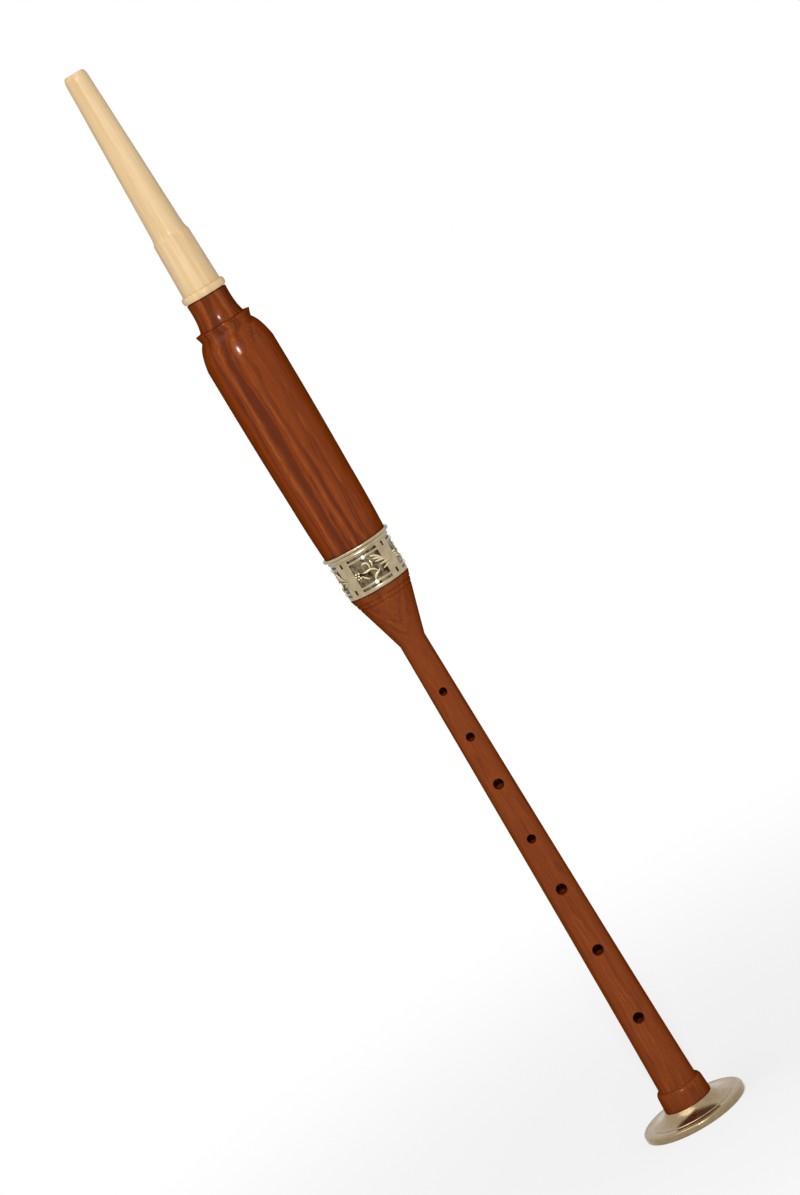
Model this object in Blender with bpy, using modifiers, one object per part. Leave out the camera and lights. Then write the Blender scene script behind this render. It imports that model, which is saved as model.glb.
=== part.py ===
"""Practice chanter, modelled piece by piece as it comes apart on a bench.

The instrument stands on its sole with the mouthpiece up. The origin is the middle of the sole's
underside and +Z runs up the bore. The finger holes face -Y and the thumb hole faces +Y.
"""

import math
from typing import NamedTuple

import bmesh
import bpy

MM = 0.001

# Fits between the pieces
SEAT_GAP = 0.3 * MM
SOCKET_END_ROOM = 1.0 * MM
EDGE_ROUND = 0.5 * MM

# Bores
AIR_BORE_RADIUS = 2.75 * MM
CHANTER_BORE_RADIUS = 2.6 * MM

# Sole: the metal foot
SOLE_RADIUS = 23.3 * MM
SOLE_HEIGHT = 7.0 * MM
SOLE_RIM_HEIGHT = 3.1 * MM
SOLE_RING_WIDTH = 4.6 * MM
SOLE_RING_STEP = 0.35 * MM
SOLE_LAND_WIDTH = 0.5 * MM

# Chanter: the lower section, from its spigot in the sole up to its tenon
SPIGOT_RADIUS = 6.0 * MM
SPIGOT_RECESS = 0.5 * MM
FOOT_BEAD_STAND = 2.1 * MM
FOOT_BEAD_HEIGHT = 8.3 * MM
FOOT_BEAD_TAPER = 0.3 * MM
FOOT_BEAD_ROUND = 3.0 * MM
STEM_LENGTH = 215.0 * MM
STEM_FOOT_RADIUS = 8.6 * MM
STEM_WAIST_RADIUS = 7.25 * MM
STEM_NECK_RADIUS = 5.7 * MM
FLARE_LENGTH = 26.4 * MM
SCORE_DROPS = (2.9 * MM, 5.0 * MM)
SCORE_WIDTH = 0.7 * MM
SCORE_DEPTH = 0.3 * MM
TENON_RADIUS = 9.3 * MM
TENON_LENGTH = 25.0 * MM

# Holes: each centre as a share of the stem from the foot bead up, and each diameter
FINGER_HOLES = (
    (0.157, 4.7 * MM),
    (0.311, 4.7 * MM),
    (0.448, 4.7 * MM),
    (0.561, 3.7 * MM),
    (0.684, 4.4 * MM),
    (0.789, 3.6 * MM),
    (0.890, 3.3 * MM),
)
THUMB_HOLE = (0.948, 4.0 * MM)

# Lapped tenons: a groove holds the hemp, and the socket has room round it
GROOVE_DEPTH = 0.9 * MM
GROOVE_MARGIN = 3.0 * MM
SOCKET_ROOM = 0.5 * MM

# Barrel: the upper section, from its socket up to the neck's tenon
SOCKET_WALL = 2.5 * MM
CHAMBER_LEDGE = 0.8 * MM
CHAMBER_HEAD_ROOM = 33.0 * MM
CHAMBER_CONE_LENGTH = 6.0 * MM
BARREL_STAND = 0.4 * MM
BARREL_RADIUS = 15.1 * MM
BARREL_SWELL = 0.3 * MM
BARREL_TAPER = 0.55 * MM
BARREL_BODY_LENGTH = 88.8 * MM
BARREL_WAIST_LENGTH = 27.8 * MM
SHOULDER_LENGTH = 11.0 * MM
FLANGE_RADIUS = 12.3 * MM
FLANGE_UNDERCUT = 0.9 * MM
FLANGE_HEIGHT = 3.4 * MM
FLANGE_EDGE = 0.4 * MM
NECK_LENGTH = 12.6 * MM
NECK_FOOT_RADIUS = 9.9 * MM
NECK_STAND = 0.4 * MM
NECK_TENON_RADIUS = 5.5 * MM
NECK_TENON_LENGTH = 22.0 * MM

# Ferrule: the metal band round the barrel's socket
FERRULE_LENGTH = 19.6 * MM
FERRULE_WALL = 0.85 * MM
LIP_STAND = 1.6 * MM
LIP_HEIGHT = 1.4 * MM
LIP_COVE = 1.6 * MM
PANEL_COUNT = 4
PANEL_ANGLE = math.radians(60)
PANEL_DEPTH = 0.4 * MM
PANEL_BOTTOM_MARGIN = 1.0 * MM
PANEL_TOP_MARGIN = 4.4 * MM

# Mouthpiece, from its bead ring up to its tip
MOUTHPIECE_WALL = 1.9 * MM
MOUTHPIECE_SOCKET_TAPER = 0.5 * MM
MOUTHPIECE_SOCKET_LENGTH = 26.7 * MM
RING_STAND = 1.3 * MM
RING_HEIGHT = 3.4 * MM
MOUTHPIECE_COVE_LENGTH = 3.5 * MM
MOUTHPIECE_STEM_RADIUS = 7.15 * MM
MOUTHPIECE_STEM_LENGTH = 67.5 * MM
TIP_RADIUS = 5.05 * MM
TIP_LENGTH = 4.0 * MM
TIP_LAND = 0.7 * MM

# Reed: staple, blades, binding, bridle and the hemp that seals it in its seat
REED_SEAT_DEPTH = 12.0 * MM
REED_LAPPING = 0.7 * MM
REED_LAPPING_MARGIN = 1.0 * MM
STAPLE_LENGTH = 26.0 * MM
STAPLE_RADIUS = 2.3 * MM
STAPLE_TAPER = 0.4 * MM
STAPLE_WALL = 0.5 * MM
BLADE_OVERLAP = 7.5 * MM
BLADE_LENGTH = 30.0 * MM
BLADE_THICKNESS = 0.7 * MM
BLADE_LIP_HALF_WIDTH = 4.4 * MM
BLADE_LIP_BOW = 0.45 * MM
BINDING_LENGTH = 8.5 * MM
BINDING_THICKNESS = 0.6 * MM
BRIDLE_RISE = 3.0 * MM
BRIDLE_HEIGHT = 2.4 * MM
BRIDLE_THICKNESS = 0.5 * MM

# Curve quality
TURNED_SEGMENTS = 48
SMALL_SEGMENTS = 32
HOLE_SEGMENTS = 20
PANEL_STEPS = 8
BLADE_ARC_STEPS = 10
BLADE_RISE_STEPS = 10
SHARP_ANGLE = math.radians(32)
MERGE_DISTANCE = 0.00001

# Radii that follow from the fits
SOCKET_RADIUS = TENON_RADIUS + SOCKET_ROOM
CHAMBER_RADIUS = SOCKET_RADIUS - CHAMBER_LEDGE
FERRULE_SEAT_RADIUS = SOCKET_RADIUS + SOCKET_WALL
FERRULE_BORE_RADIUS = FERRULE_SEAT_RADIUS + SEAT_GAP
FERRULE_RADIUS = FERRULE_BORE_RADIUS + FERRULE_WALL
FOOT_RADIUS = STEM_FOOT_RADIUS + FOOT_BEAD_STAND
MOUTHPIECE_SOCKET_RADIUS = NECK_TENON_RADIUS + SOCKET_ROOM
MOUTHPIECE_FOOT_RADIUS = MOUTHPIECE_SOCKET_RADIUS + MOUTHPIECE_WALL + MOUTHPIECE_SOCKET_TAPER
REED_SEAT_RADIUS = STAPLE_RADIUS + REED_LAPPING + 2 * SEAT_GAP

# Heights in the chanter, above the foot bead's underside
STEM_FOOT = FOOT_BEAD_HEIGHT
STEM_TOP = STEM_FOOT + STEM_LENGTH
CHANTER_SHOULDER = STEM_TOP + FLARE_LENGTH
TENON_TOP = CHANTER_SHOULDER + TENON_LENGTH
REED_SEAT_FLOOR = TENON_TOP - REED_SEAT_DEPTH

# Heights in the reed, above the staple's lower end
BLADE_FOOT = STAPLE_LENGTH - BLADE_OVERLAP
REED_TIP = BLADE_FOOT + BLADE_LENGTH
BRIDLE_FOOT = BLADE_FOOT + BINDING_LENGTH + BRIDLE_RISE

# Heights in the barrel, above its lower face, which sits on the chanter's shoulder
REED_FOOT_IN_BARREL = REED_SEAT_FLOOR - CHANTER_SHOULDER
SOCKET_DEPTH = TENON_LENGTH + SOCKET_END_ROOM
CHAMBER_TOP = REED_FOOT_IN_BARREL + REED_TIP + CHAMBER_HEAD_ROOM
BODY_FOOT = FERRULE_LENGTH + SEAT_GAP
BODY_TOP = BODY_FOOT + BARREL_BODY_LENGTH
FLANGE_FOOT = BODY_TOP + SHOULDER_LENGTH
FLANGE_TOP = FLANGE_FOOT + FLANGE_HEIGHT
NECK_TOP = FLANGE_TOP + NECK_LENGTH
NECK_TENON_TOP = NECK_TOP + NECK_TENON_LENGTH


class Bend(NamedTuple):
    """A round stretch that leaves the last point towards a corner and reaches the end from it."""

    corner: tuple
    end: tuple
    steps: int = 4


def clear_scene():
    for obj in list(bpy.data.objects):
        bpy.data.objects.remove(obj, do_unlink=True)


def new_collection(name):
    collection = bpy.data.collections.new(name)
    bpy.context.scene.collection.children.link(collection)
    return collection


def new_object(name, mesh, collection, parent=None, height=0.0):
    """Put a mesh on the bore's axis at a height above its parent's origin."""
    obj = bpy.data.objects.new(name, mesh)
    obj.parent = parent
    obj.location.z = height
    collection.objects.link(obj)
    return obj


def give_material(obj, colour, roughness, metallic=0.0):
    """Give a piece its own finish. The colour is linear."""
    material = bpy.data.materials.new(f"{obj.name}_finish")
    material.use_nodes = True
    shader = material.node_tree.nodes["Principled BSDF"]
    shader.inputs["Base Color"].default_value = (*colour, 1.0)
    shader.inputs["Roughness"].default_value = roughness
    shader.inputs["Metallic"].default_value = metallic
    obj.data.materials.clear()
    obj.data.materials.append(material)


def apply_modifiers(obj):
    """Keep the modelled surface as the object's own mesh, shaded smooth between its sharp edges."""
    bpy.context.view_layer.update()
    graph = bpy.context.evaluated_depsgraph_get()
    finished = bpy.data.meshes.new_from_object(obj.evaluated_get(graph))
    obj.modifiers.clear()
    obj.data = finished
    finished.shade_smooth()
    finished.set_sharp_from_angle(angle=SHARP_ANGLE)


def trace(*stops):
    """List the points of an outline whose stops are points, or bends to a point."""
    points = []
    for stop in stops:
        if not isinstance(stop, Bend):
            points.append(stop)
            continue
        start = points[-1]
        for step in range(1, stop.steps + 1):
            along = step / stop.steps
            points.append(
                tuple(
                    (1 - along) ** 2 * a + 2 * along * (1 - along) * b + along**2 * c
                    for a, b, c in zip(start, stop.corner, stop.end)
                )
            )
    return points


def between(start, end, radius_share, height_share):
    """A point placed by its shares of the way from start to end."""
    return (
        start[0] + (end[0] - start[0]) * radius_share,
        start[1] + (end[1] - start[1]) * height_share,
    )


def radius_at(outline, height):
    """Radius of an outline that falls from point to point, at a height."""
    for (r_above, above), (r_below, below) in zip(outline, outline[1:]):
        if below <= height <= above:
            return r_below + (r_above - r_below) * (height - below) / (above - below)
    return outline[-1][0]


def score_line(outline, height):
    """Cut a V-shaped line round a falling outline."""
    top, bottom = height + SCORE_WIDTH / 2, height - SCORE_WIDTH / 2
    return [
        *(point for point in outline if point[1] > top),
        (radius_at(outline, top), top),
        (radius_at(outline, height) - SCORE_DEPTH, height),
        (radius_at(outline, bottom), bottom),
        *(point for point in outline if point[1] < bottom),
    ]


def screw_mesh(obj, segments, angle=2 * math.pi):
    """Turn an object's outline round its Z axis."""
    turn = obj.modifiers.new("Turn", "SCREW")
    turn.angle = angle
    turn.steps = turn.render_steps = segments
    turn.use_merge_vertices = angle == 2 * math.pi
    turn.merge_threshold = MERGE_DISTANCE
    turn.use_smooth_shade = True


def outline_mesh(name, outline, closed=True):
    """Edges through (radius, height) points, in the plane of +X and +Z."""
    mesh = bpy.data.meshes.new(name)
    last = len(outline) - 1
    edges = [(index, index + 1) for index in range(last)]
    if closed:
        edges.append((last, 0))
    mesh.from_pydata([(radius, 0.0, height) for radius, height in outline], edges, [])
    return mesh


def turned(name, outline, collection, parent=None, height=0.0, segments=TURNED_SEGMENTS):
    """A turned piece. Its outline runs down the outside and up the bore."""
    obj = new_object(name, outline_mesh(name, outline), collection, parent, height)
    screw_mesh(obj, segments)
    apply_modifiers(obj)
    return obj


def mark_cutter(obj):
    """Mark an object as a tool that only cuts."""
    obj.hide_render = True
    obj.display_type = "WIRE"


def cut(obj, cutters):
    """Take the cutters' shapes out of a piece."""
    for cutter in cutters:
        boolean = obj.modifiers.new(cutter.name, "BOOLEAN")
        boolean.operation = "DIFFERENCE"
        boolean.object = cutter
    apply_modifiers(obj)


def lapped_tenon(radius, shoulder, top):
    """Outside of a tenon from its top edge down to its shoulder, with the groove for the hemp."""
    groove_radius = radius - GROOVE_DEPTH
    groove_top, groove_foot = top - GROOVE_MARGIN, shoulder + GROOVE_MARGIN
    return [
        (radius - EDGE_ROUND, top),
        (radius, top - EDGE_ROUND),
        (radius, groove_top),
        (groove_radius, groove_top),
        (groove_radius, groove_foot),
        (radius, groove_foot),
        (radius, shoulder),
    ]


def hemp_sleeve(name, collection, parent, tenon_radius, shoulder, tenon_length):
    """Hemp in a tenon's groove, full enough to rub the socket."""
    inside = tenon_radius - GROOVE_DEPTH + SEAT_GAP
    outside = tenon_radius + SOCKET_ROOM - SEAT_GAP
    length = tenon_length - 2 * (GROOVE_MARGIN + SEAT_GAP)
    outline = trace(
        (inside, length),
        (outside - EDGE_ROUND, length),
        Bend((outside, length), (outside, length - EDGE_ROUND), 2),
        (outside, EDGE_ROUND),
        Bend((outside, 0.0), (outside - EDGE_ROUND, 0.0), 2),
        (inside, 0.0),
    )
    height = shoulder + GROOVE_MARGIN + SEAT_GAP
    return turned(name, outline, collection, parent, height, SMALL_SEGMENTS)


def make_sole(collection, parent):
    """Disc with a thick rim, a flat outer ring and a cove that climbs to the wood."""
    bore = SPIGOT_RADIUS + SEAT_GAP
    land = (FOOT_RADIUS + SOLE_LAND_WIDTH, SOLE_HEIGHT)
    ring_radius = SOLE_RADIUS - SOLE_RING_WIDTH
    ring = (ring_radius, SOLE_RIM_HEIGHT + SOLE_RING_STEP)
    outline = trace(
        (bore, SOLE_HEIGHT),
        land,
        Bend(between(land, ring, 0.3, 0.85), ring, 5),
        (ring_radius + SOLE_RING_STEP, SOLE_RIM_HEIGHT),
        (SOLE_RADIUS - EDGE_ROUND, SOLE_RIM_HEIGHT),
        Bend((SOLE_RADIUS, SOLE_RIM_HEIGHT), (SOLE_RADIUS, SOLE_RIM_HEIGHT - EDGE_ROUND), 2),
        (SOLE_RADIUS, EDGE_ROUND),
        Bend((SOLE_RADIUS, 0.0), (SOLE_RADIUS - EDGE_ROUND, 0.0), 2),
        (bore, 0.0),
    )
    sole = turned("sole", outline, collection, parent, -(SOLE_HEIGHT + SEAT_GAP))
    give_material(sole, (0.60, 0.54, 0.43), 0.25, metallic=1.0)
    return sole


def make_hole_cutter(name, share, diameter, side, collection, parent):
    """Drill that stands across the stem, from the bore out through the front or the back."""
    height = STEM_FOOT + share * STEM_LENGTH
    length = FOOT_RADIUS
    mesh = bpy.data.meshes.new(name)
    drill = bmesh.new()
    bmesh.ops.create_cone(
        drill,
        cap_ends=True,
        segments=HOLE_SEGMENTS,
        radius1=diameter / 2,
        radius2=diameter / 2,
        depth=length,
    )
    drill.to_mesh(mesh)
    drill.free()
    obj = new_object(name, mesh, collection, parent, height)
    obj.location.y = side * length / 2
    obj.rotation_euler.x = math.pi / 2
    mark_cutter(obj)
    return obj


def make_chanter(collection, cutters):
    """Lower section: tenon, scored flare, tapering stem with its holes, foot bead and spigot."""
    flare_foot = (STEM_NECK_RADIUS, STEM_TOP)
    shoulder = (FERRULE_RADIUS, CHANTER_SHOULDER)
    stem_foot = (STEM_FOOT_RADIUS, STEM_FOOT)
    stem_waist = (STEM_WAIST_RADIUS, STEM_FOOT + 0.25 * STEM_LENGTH)
    bead_round = (FOOT_RADIUS - FOOT_BEAD_TAPER, STEM_FOOT - FOOT_BEAD_ROUND)
    spigot_end = -(SOLE_HEIGHT + SEAT_GAP - SPIGOT_RECESS)
    flare = trace(shoulder, Bend(between(flare_foot, shoulder, 0.69, 0.72), flare_foot, 6))
    for drop in SCORE_DROPS:
        flare = score_line(flare, CHANTER_SHOULDER - drop)
    outline = trace(
        (REED_SEAT_RADIUS, TENON_TOP),
        *lapped_tenon(TENON_RADIUS, CHANTER_SHOULDER, TENON_TOP),
        *flare,
        Bend(stem_waist, stem_foot, 6),
        Bend((bead_round[0], STEM_FOOT), bead_round, 3),
        (FOOT_RADIUS, 0.0),
        (SPIGOT_RADIUS, 0.0),
        (SPIGOT_RADIUS, spigot_end),
        (CHANTER_BORE_RADIUS, spigot_end),
        (CHANTER_BORE_RADIUS, REED_SEAT_FLOOR),
        (REED_SEAT_RADIUS, REED_SEAT_FLOOR),
    )
    chanter = turned("chanter", outline, collection, height=SOLE_HEIGHT + SEAT_GAP)
    drills = [
        make_hole_cutter(f"finger_drill_{number}", share, diameter, -1, cutters, chanter)
        for number, (share, diameter) in enumerate(FINGER_HOLES, start=1)
    ]
    drills.append(make_hole_cutter("thumb_drill", *THUMB_HOLE, 1, cutters, chanter))
    cut(chanter, drills)
    give_material(chanter, (0.215, 0.050, 0.010), 0.32)
    return chanter


def make_barrel(collection, parent):
    """Upper section: socket and reed chamber inside, long body, shoulder, flange, neck and tenon."""
    body_foot = (FERRULE_RADIUS + BARREL_STAND, BODY_FOOT)
    waist = (BARREL_RADIUS - BARREL_TAPER, BODY_FOOT + BARREL_WAIST_LENGTH)
    body_top = (BARREL_RADIUS, BODY_TOP)
    flange_foot = (FLANGE_RADIUS - FLANGE_UNDERCUT, FLANGE_FOOT)
    neck_foot = (NECK_FOOT_RADIUS, FLANGE_TOP + FLANGE_EDGE)
    neck_top = (MOUTHPIECE_FOOT_RADIUS + NECK_STAND, NECK_TOP)
    outline = trace(
        (AIR_BORE_RADIUS, NECK_TENON_TOP),
        *lapped_tenon(NECK_TENON_RADIUS, NECK_TOP, NECK_TENON_TOP),
        neck_top,
        Bend(between(neck_foot, neck_top, 1.5, 0.35), neck_foot, 5),
        (FLANGE_RADIUS, FLANGE_TOP),
        (FLANGE_RADIUS, FLANGE_TOP - FLANGE_EDGE),
        Bend(between((FLANGE_RADIUS, FLANGE_TOP), flange_foot, 0.8, 0.55), flange_foot, 3),
        Bend(between(flange_foot, body_top, 0.7, 0.27), body_top, 5),
        Bend((BARREL_RADIUS + BARREL_SWELL, (waist[1] + BODY_TOP) / 2), waist, 5),
        Bend(between(waist, body_foot, 0.1, 0.55), body_foot, 3),
        (FERRULE_SEAT_RADIUS, BODY_FOOT),
        (FERRULE_SEAT_RADIUS, 0.0),
        (SOCKET_RADIUS, 0.0),
        (SOCKET_RADIUS, SOCKET_DEPTH),
        (CHAMBER_RADIUS, SOCKET_DEPTH),
        (CHAMBER_RADIUS, CHAMBER_TOP),
        (AIR_BORE_RADIUS, CHAMBER_TOP + CHAMBER_CONE_LENGTH),
    )
    barrel = turned("barrel", outline, collection, parent, SEAT_GAP)
    give_material(barrel, (0.200, 0.045, 0.010), 0.25)
    return barrel


def make_panel_cutter(number, collection, parent):
    """Curved slab that sinks one ornament panel into the ferrule."""
    foot, top = PANEL_BOTTOM_MARGIN, FERRULE_LENGTH - PANEL_TOP_MARGIN
    outline = [(FERRULE_RADIUS, top), (FERRULE_RADIUS, foot)]
    name = f"panel_cutter_{number}"
    slab = new_object(name, outline_mesh(name, outline, closed=False), collection, parent)
    screw_mesh(slab, PANEL_STEPS, PANEL_ANGLE)
    skin = slab.modifiers.new("Depth", "SOLIDIFY")
    skin.thickness = 2 * PANEL_DEPTH
    skin.offset = 0.0
    front = -math.pi / 2 - PANEL_ANGLE / 2
    slab.rotation_euler.z = front + (number - 1) * 2 * math.pi / PANEL_COUNT
    mark_cutter(slab)
    return slab


def make_ferrule(collection, cutters, parent):
    """Band with a rounded lip and sunk panels between plain posts."""
    lip_foot = FERRULE_LENGTH - LIP_HEIGHT
    lip_radius = FERRULE_RADIUS + LIP_STAND
    cove_foot = (FERRULE_RADIUS, lip_foot - LIP_COVE)
    lip_middle = (lip_radius, lip_foot + LIP_HEIGHT / 2)
    lip_root = (FERRULE_RADIUS + LIP_STAND / 2, lip_foot)
    outline = trace(
        (FERRULE_BORE_RADIUS, FERRULE_LENGTH),
        (lip_radius - LIP_HEIGHT / 2, FERRULE_LENGTH),
        Bend((lip_radius, FERRULE_LENGTH), lip_middle, 3),
        Bend((lip_radius, lip_foot), lip_root, 3),
        Bend(between(cove_foot, lip_root, 0.1, 0.9), cove_foot, 3),
        (FERRULE_RADIUS, EDGE_ROUND / 2),
        (FERRULE_RADIUS - EDGE_ROUND / 2, 0.0),
        (FERRULE_BORE_RADIUS, 0.0),
    )
    ferrule = turned("ferrule", outline, collection, parent)
    panels = [make_panel_cutter(number, cutters, ferrule) for number in range(1, PANEL_COUNT + 1)]
    cut(ferrule, panels)
    give_material(ferrule, (0.62, 0.55, 0.42), 0.28, metallic=1.0)
    return ferrule


def make_mouthpiece(collection, parent):
    """Ivory-coloured tube: bead ring, socket section, cove, long taper and rounded tip."""
    foot = MOUTHPIECE_FOOT_RADIUS
    ring = foot + RING_STAND
    socket_top = (foot - MOUTHPIECE_SOCKET_TAPER, MOUTHPIECE_SOCKET_LENGTH)
    cove_top = (MOUTHPIECE_STEM_RADIUS, socket_top[1] + MOUTHPIECE_COVE_LENGTH)
    tip_foot = (TIP_RADIUS, cove_top[1] + MOUTHPIECE_STEM_LENGTH)
    tip = tip_foot[1] + TIP_LENGTH
    tip_shoulder = (AIR_BORE_RADIUS + TIP_LAND, tip)
    socket_depth = NECK_TENON_LENGTH - SEAT_GAP + SOCKET_END_ROOM
    outline = trace(
        (AIR_BORE_RADIUS, tip),
        tip_shoulder,
        Bend((TIP_RADIUS, tip), tip_foot),
        cove_top,
        Bend(between(cove_top, socket_top, 0.15, 0.7), socket_top, 3),
        (foot, RING_HEIGHT),
        Bend((ring, RING_HEIGHT), (ring, RING_HEIGHT / 2), 3),
        Bend((ring, 0.0), (foot, 0.0), 3),
        (MOUTHPIECE_SOCKET_RADIUS, 0.0),
        (MOUTHPIECE_SOCKET_RADIUS, socket_depth),
        (AIR_BORE_RADIUS, socket_depth),
    )
    mouthpiece = turned("mouthpiece", outline, collection, parent, SEAT_GAP, SMALL_SEGMENTS)
    give_material(mouthpiece, (0.78, 0.60, 0.36), 0.35)
    return mouthpiece


def staple_radius(height):
    """Outside radius of the staple, which tapers above the reed seat."""
    above_seat = (height - REED_SEAT_DEPTH) / (STAPLE_LENGTH - REED_SEAT_DEPTH)
    return STAPLE_RADIUS - STAPLE_TAPER * max(above_seat, 0.0)


def make_staple(collection, parent):
    """Tapered metal tube of the reed."""
    top_radius = staple_radius(STAPLE_LENGTH)
    outline = [
        (top_radius - STAPLE_WALL, STAPLE_LENGTH),
        (top_radius, STAPLE_LENGTH),
        (STAPLE_RADIUS, REED_SEAT_DEPTH),
        (STAPLE_RADIUS, 0.0),
        (STAPLE_RADIUS - STAPLE_WALL, 0.0),
        (STAPLE_RADIUS - STAPLE_WALL, REED_SEAT_DEPTH),
    ]
    staple = turned("reed_staple", outline, collection, parent, segments=SMALL_SEGMENTS)
    give_material(staple, (0.72, 0.48, 0.17), 0.3, metallic=1.0)


def make_reed_hemp(collection, parent):
    """Hemp round the staple, where it sits in the reed seat."""
    inside, outside = STAPLE_RADIUS + SEAT_GAP, STAPLE_RADIUS + SEAT_GAP + REED_LAPPING
    length = REED_SEAT_DEPTH - 2 * REED_LAPPING_MARGIN
    outline = [(inside, length), (outside, length), (outside, 0.0), (inside, 0.0)]
    hemp = turned(
        "reed_hemp", outline, collection, parent, REED_LAPPING_MARGIN, SMALL_SEGMENTS
    )
    give_material(hemp, (0.62, 0.47, 0.22), 0.8)


def blade_section(height):
    """Half width and bow of a blade's inner face, at a height above the blade's foot."""
    free = (height - BINDING_LENGTH) / (BLADE_LENGTH - BINDING_LENGTH)
    free = min(max(free, 0.0), 1.0)
    opened = free * free * (3 - 2 * free)
    foot_radius = staple_radius(BLADE_FOOT) + SEAT_GAP
    half_width = foot_radius + (BLADE_LIP_HALF_WIDTH - foot_radius) * opened
    bow = foot_radius + (BLADE_LIP_BOW - foot_radius) * opened
    return half_width, bow


def make_blade(name, side, collection, parent):
    """Cane blade: half a tube where it is tied, opening out to a wide, nearly flat lip."""
    mesh = bpy.data.meshes.new(name)
    sheet = bmesh.new()
    bmesh.ops.create_grid(
        sheet, x_segments=BLADE_ARC_STEPS, y_segments=BLADE_RISE_STEPS, size=1.0
    )
    for vert in sheet.verts:
        angle = vert.co.x * math.pi / 2
        height = (vert.co.y + 1) / 2 * BLADE_LENGTH
        half_width, bow = blade_section(height)
        vert.co.x = half_width * math.sin(angle)
        vert.co.y = side * (SEAT_GAP / 2 + bow * math.cos(angle))
        vert.co.z = height
    sheet.to_mesh(mesh)
    sheet.free()
    blade = new_object(name, mesh, collection, parent, BLADE_FOOT)
    cane = blade.modifiers.new("Thickness", "SOLIDIFY")
    cane.thickness = BLADE_THICKNESS
    cane.offset = -side
    cane.use_even_offset = True
    apply_modifiers(blade)
    give_material(blade, (0.66, 0.45, 0.18), 0.5)


def make_binding(collection, parent):
    """Thread wound over the feet of the blades."""
    inside = blade_section(0.0)[1] + BLADE_THICKNESS + 1.5 * SEAT_GAP
    middle, end = inside + BINDING_THICKNESS, inside + BINDING_THICKNESS / 2
    outline = trace(
        (inside, BINDING_LENGTH),
        (end, BINDING_LENGTH),
        Bend((middle + BINDING_THICKNESS / 2, BINDING_LENGTH / 2), (end, 0.0), 4),
        (inside, 0.0),
    )
    binding = turned(
        "reed_binding", outline, collection, parent, BLADE_FOOT, SMALL_SEGMENTS
    )
    give_material(binding, (0.30, 0.12, 0.04), 0.7)


def make_bridle(collection, parent):
    """Oval metal band round the blades."""
    foot = BRIDLE_FOOT - BLADE_FOOT
    clearance = BLADE_THICKNESS + SEAT_GAP
    half_width = blade_section(foot + BRIDLE_HEIGHT)[0] + clearance
    half_depth = blade_section(foot)[1] + SEAT_GAP / 2 + clearance
    mesh = bpy.data.meshes.new("reed_bridle")
    band = bmesh.new()
    bmesh.ops.create_circle(band, segments=SMALL_SEGMENTS, radius=1.0)
    bmesh.ops.scale(band, vec=(half_width, half_depth, 1.0), verts=band.verts)
    raised = bmesh.ops.extrude_edge_only(band, edges=band.edges[:])
    upper = [item for item in raised["geom"] if isinstance(item, bmesh.types.BMVert)]
    bmesh.ops.translate(band, vec=(0.0, 0.0, BRIDLE_HEIGHT), verts=upper)
    bmesh.ops.recalc_face_normals(band, faces=band.faces)
    band.to_mesh(mesh)
    band.free()
    bridle = new_object("reed_bridle", mesh, collection, parent, BRIDLE_FOOT)
    strip = bridle.modifiers.new("Thickness", "SOLIDIFY")
    strip.thickness = BRIDLE_THICKNESS
    strip.offset = 1.0
    apply_modifiers(bridle)
    give_material(bridle, (0.75, 0.32, 0.16), 0.3, metallic=1.0)


def main():
    clear_scene()
    pieces = new_collection("practice_chanter")
    cutters = new_collection("cutters")
    chanter = make_chanter(pieces, cutters)
    make_sole(pieces, chanter)

    barrel_joint = new_object("barrel_joint", None, pieces, chanter, CHANTER_SHOULDER)
    hemp = hemp_sleeve("tenon_hemp", pieces, barrel_joint, TENON_RADIUS, 0.0, TENON_LENGTH)
    give_material(hemp, (0.60, 0.45, 0.20), 0.8)
    barrel = make_barrel(pieces, barrel_joint)
    make_ferrule(pieces, cutters, barrel)

    mouthpiece_joint = new_object("mouthpiece_joint", None, pieces, barrel, NECK_TOP)
    hemp = hemp_sleeve(
        "mouthpiece_hemp", pieces, mouthpiece_joint, NECK_TENON_RADIUS, 0.0, NECK_TENON_LENGTH
    )
    give_material(hemp, (0.60, 0.45, 0.20), 0.8)
    make_mouthpiece(pieces, mouthpiece_joint)

    reed_joint = new_object("reed_joint", None, pieces, chanter, REED_SEAT_FLOOR + SEAT_GAP)
    make_staple(pieces, reed_joint)
    make_reed_hemp(pieces, reed_joint)
    make_blade("reed_blade_front", -1, pieces, reed_joint)
    make_blade("reed_blade_back", 1, pieces, reed_joint)
    make_binding(pieces, reed_joint)
    make_bridle(pieces, reed_joint)


main()
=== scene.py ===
# %% [markdown]
# # Dressing a practice chanter
# The solids give every piece its place and size. Each visible piece is turned again here with finer
# curves, gets the small work of its maker, and a finish made of nodes.

import math
from typing import NamedTuple

import bmesh
import bpy
from mathutils import Matrix, Quaternion, Vector


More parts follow.
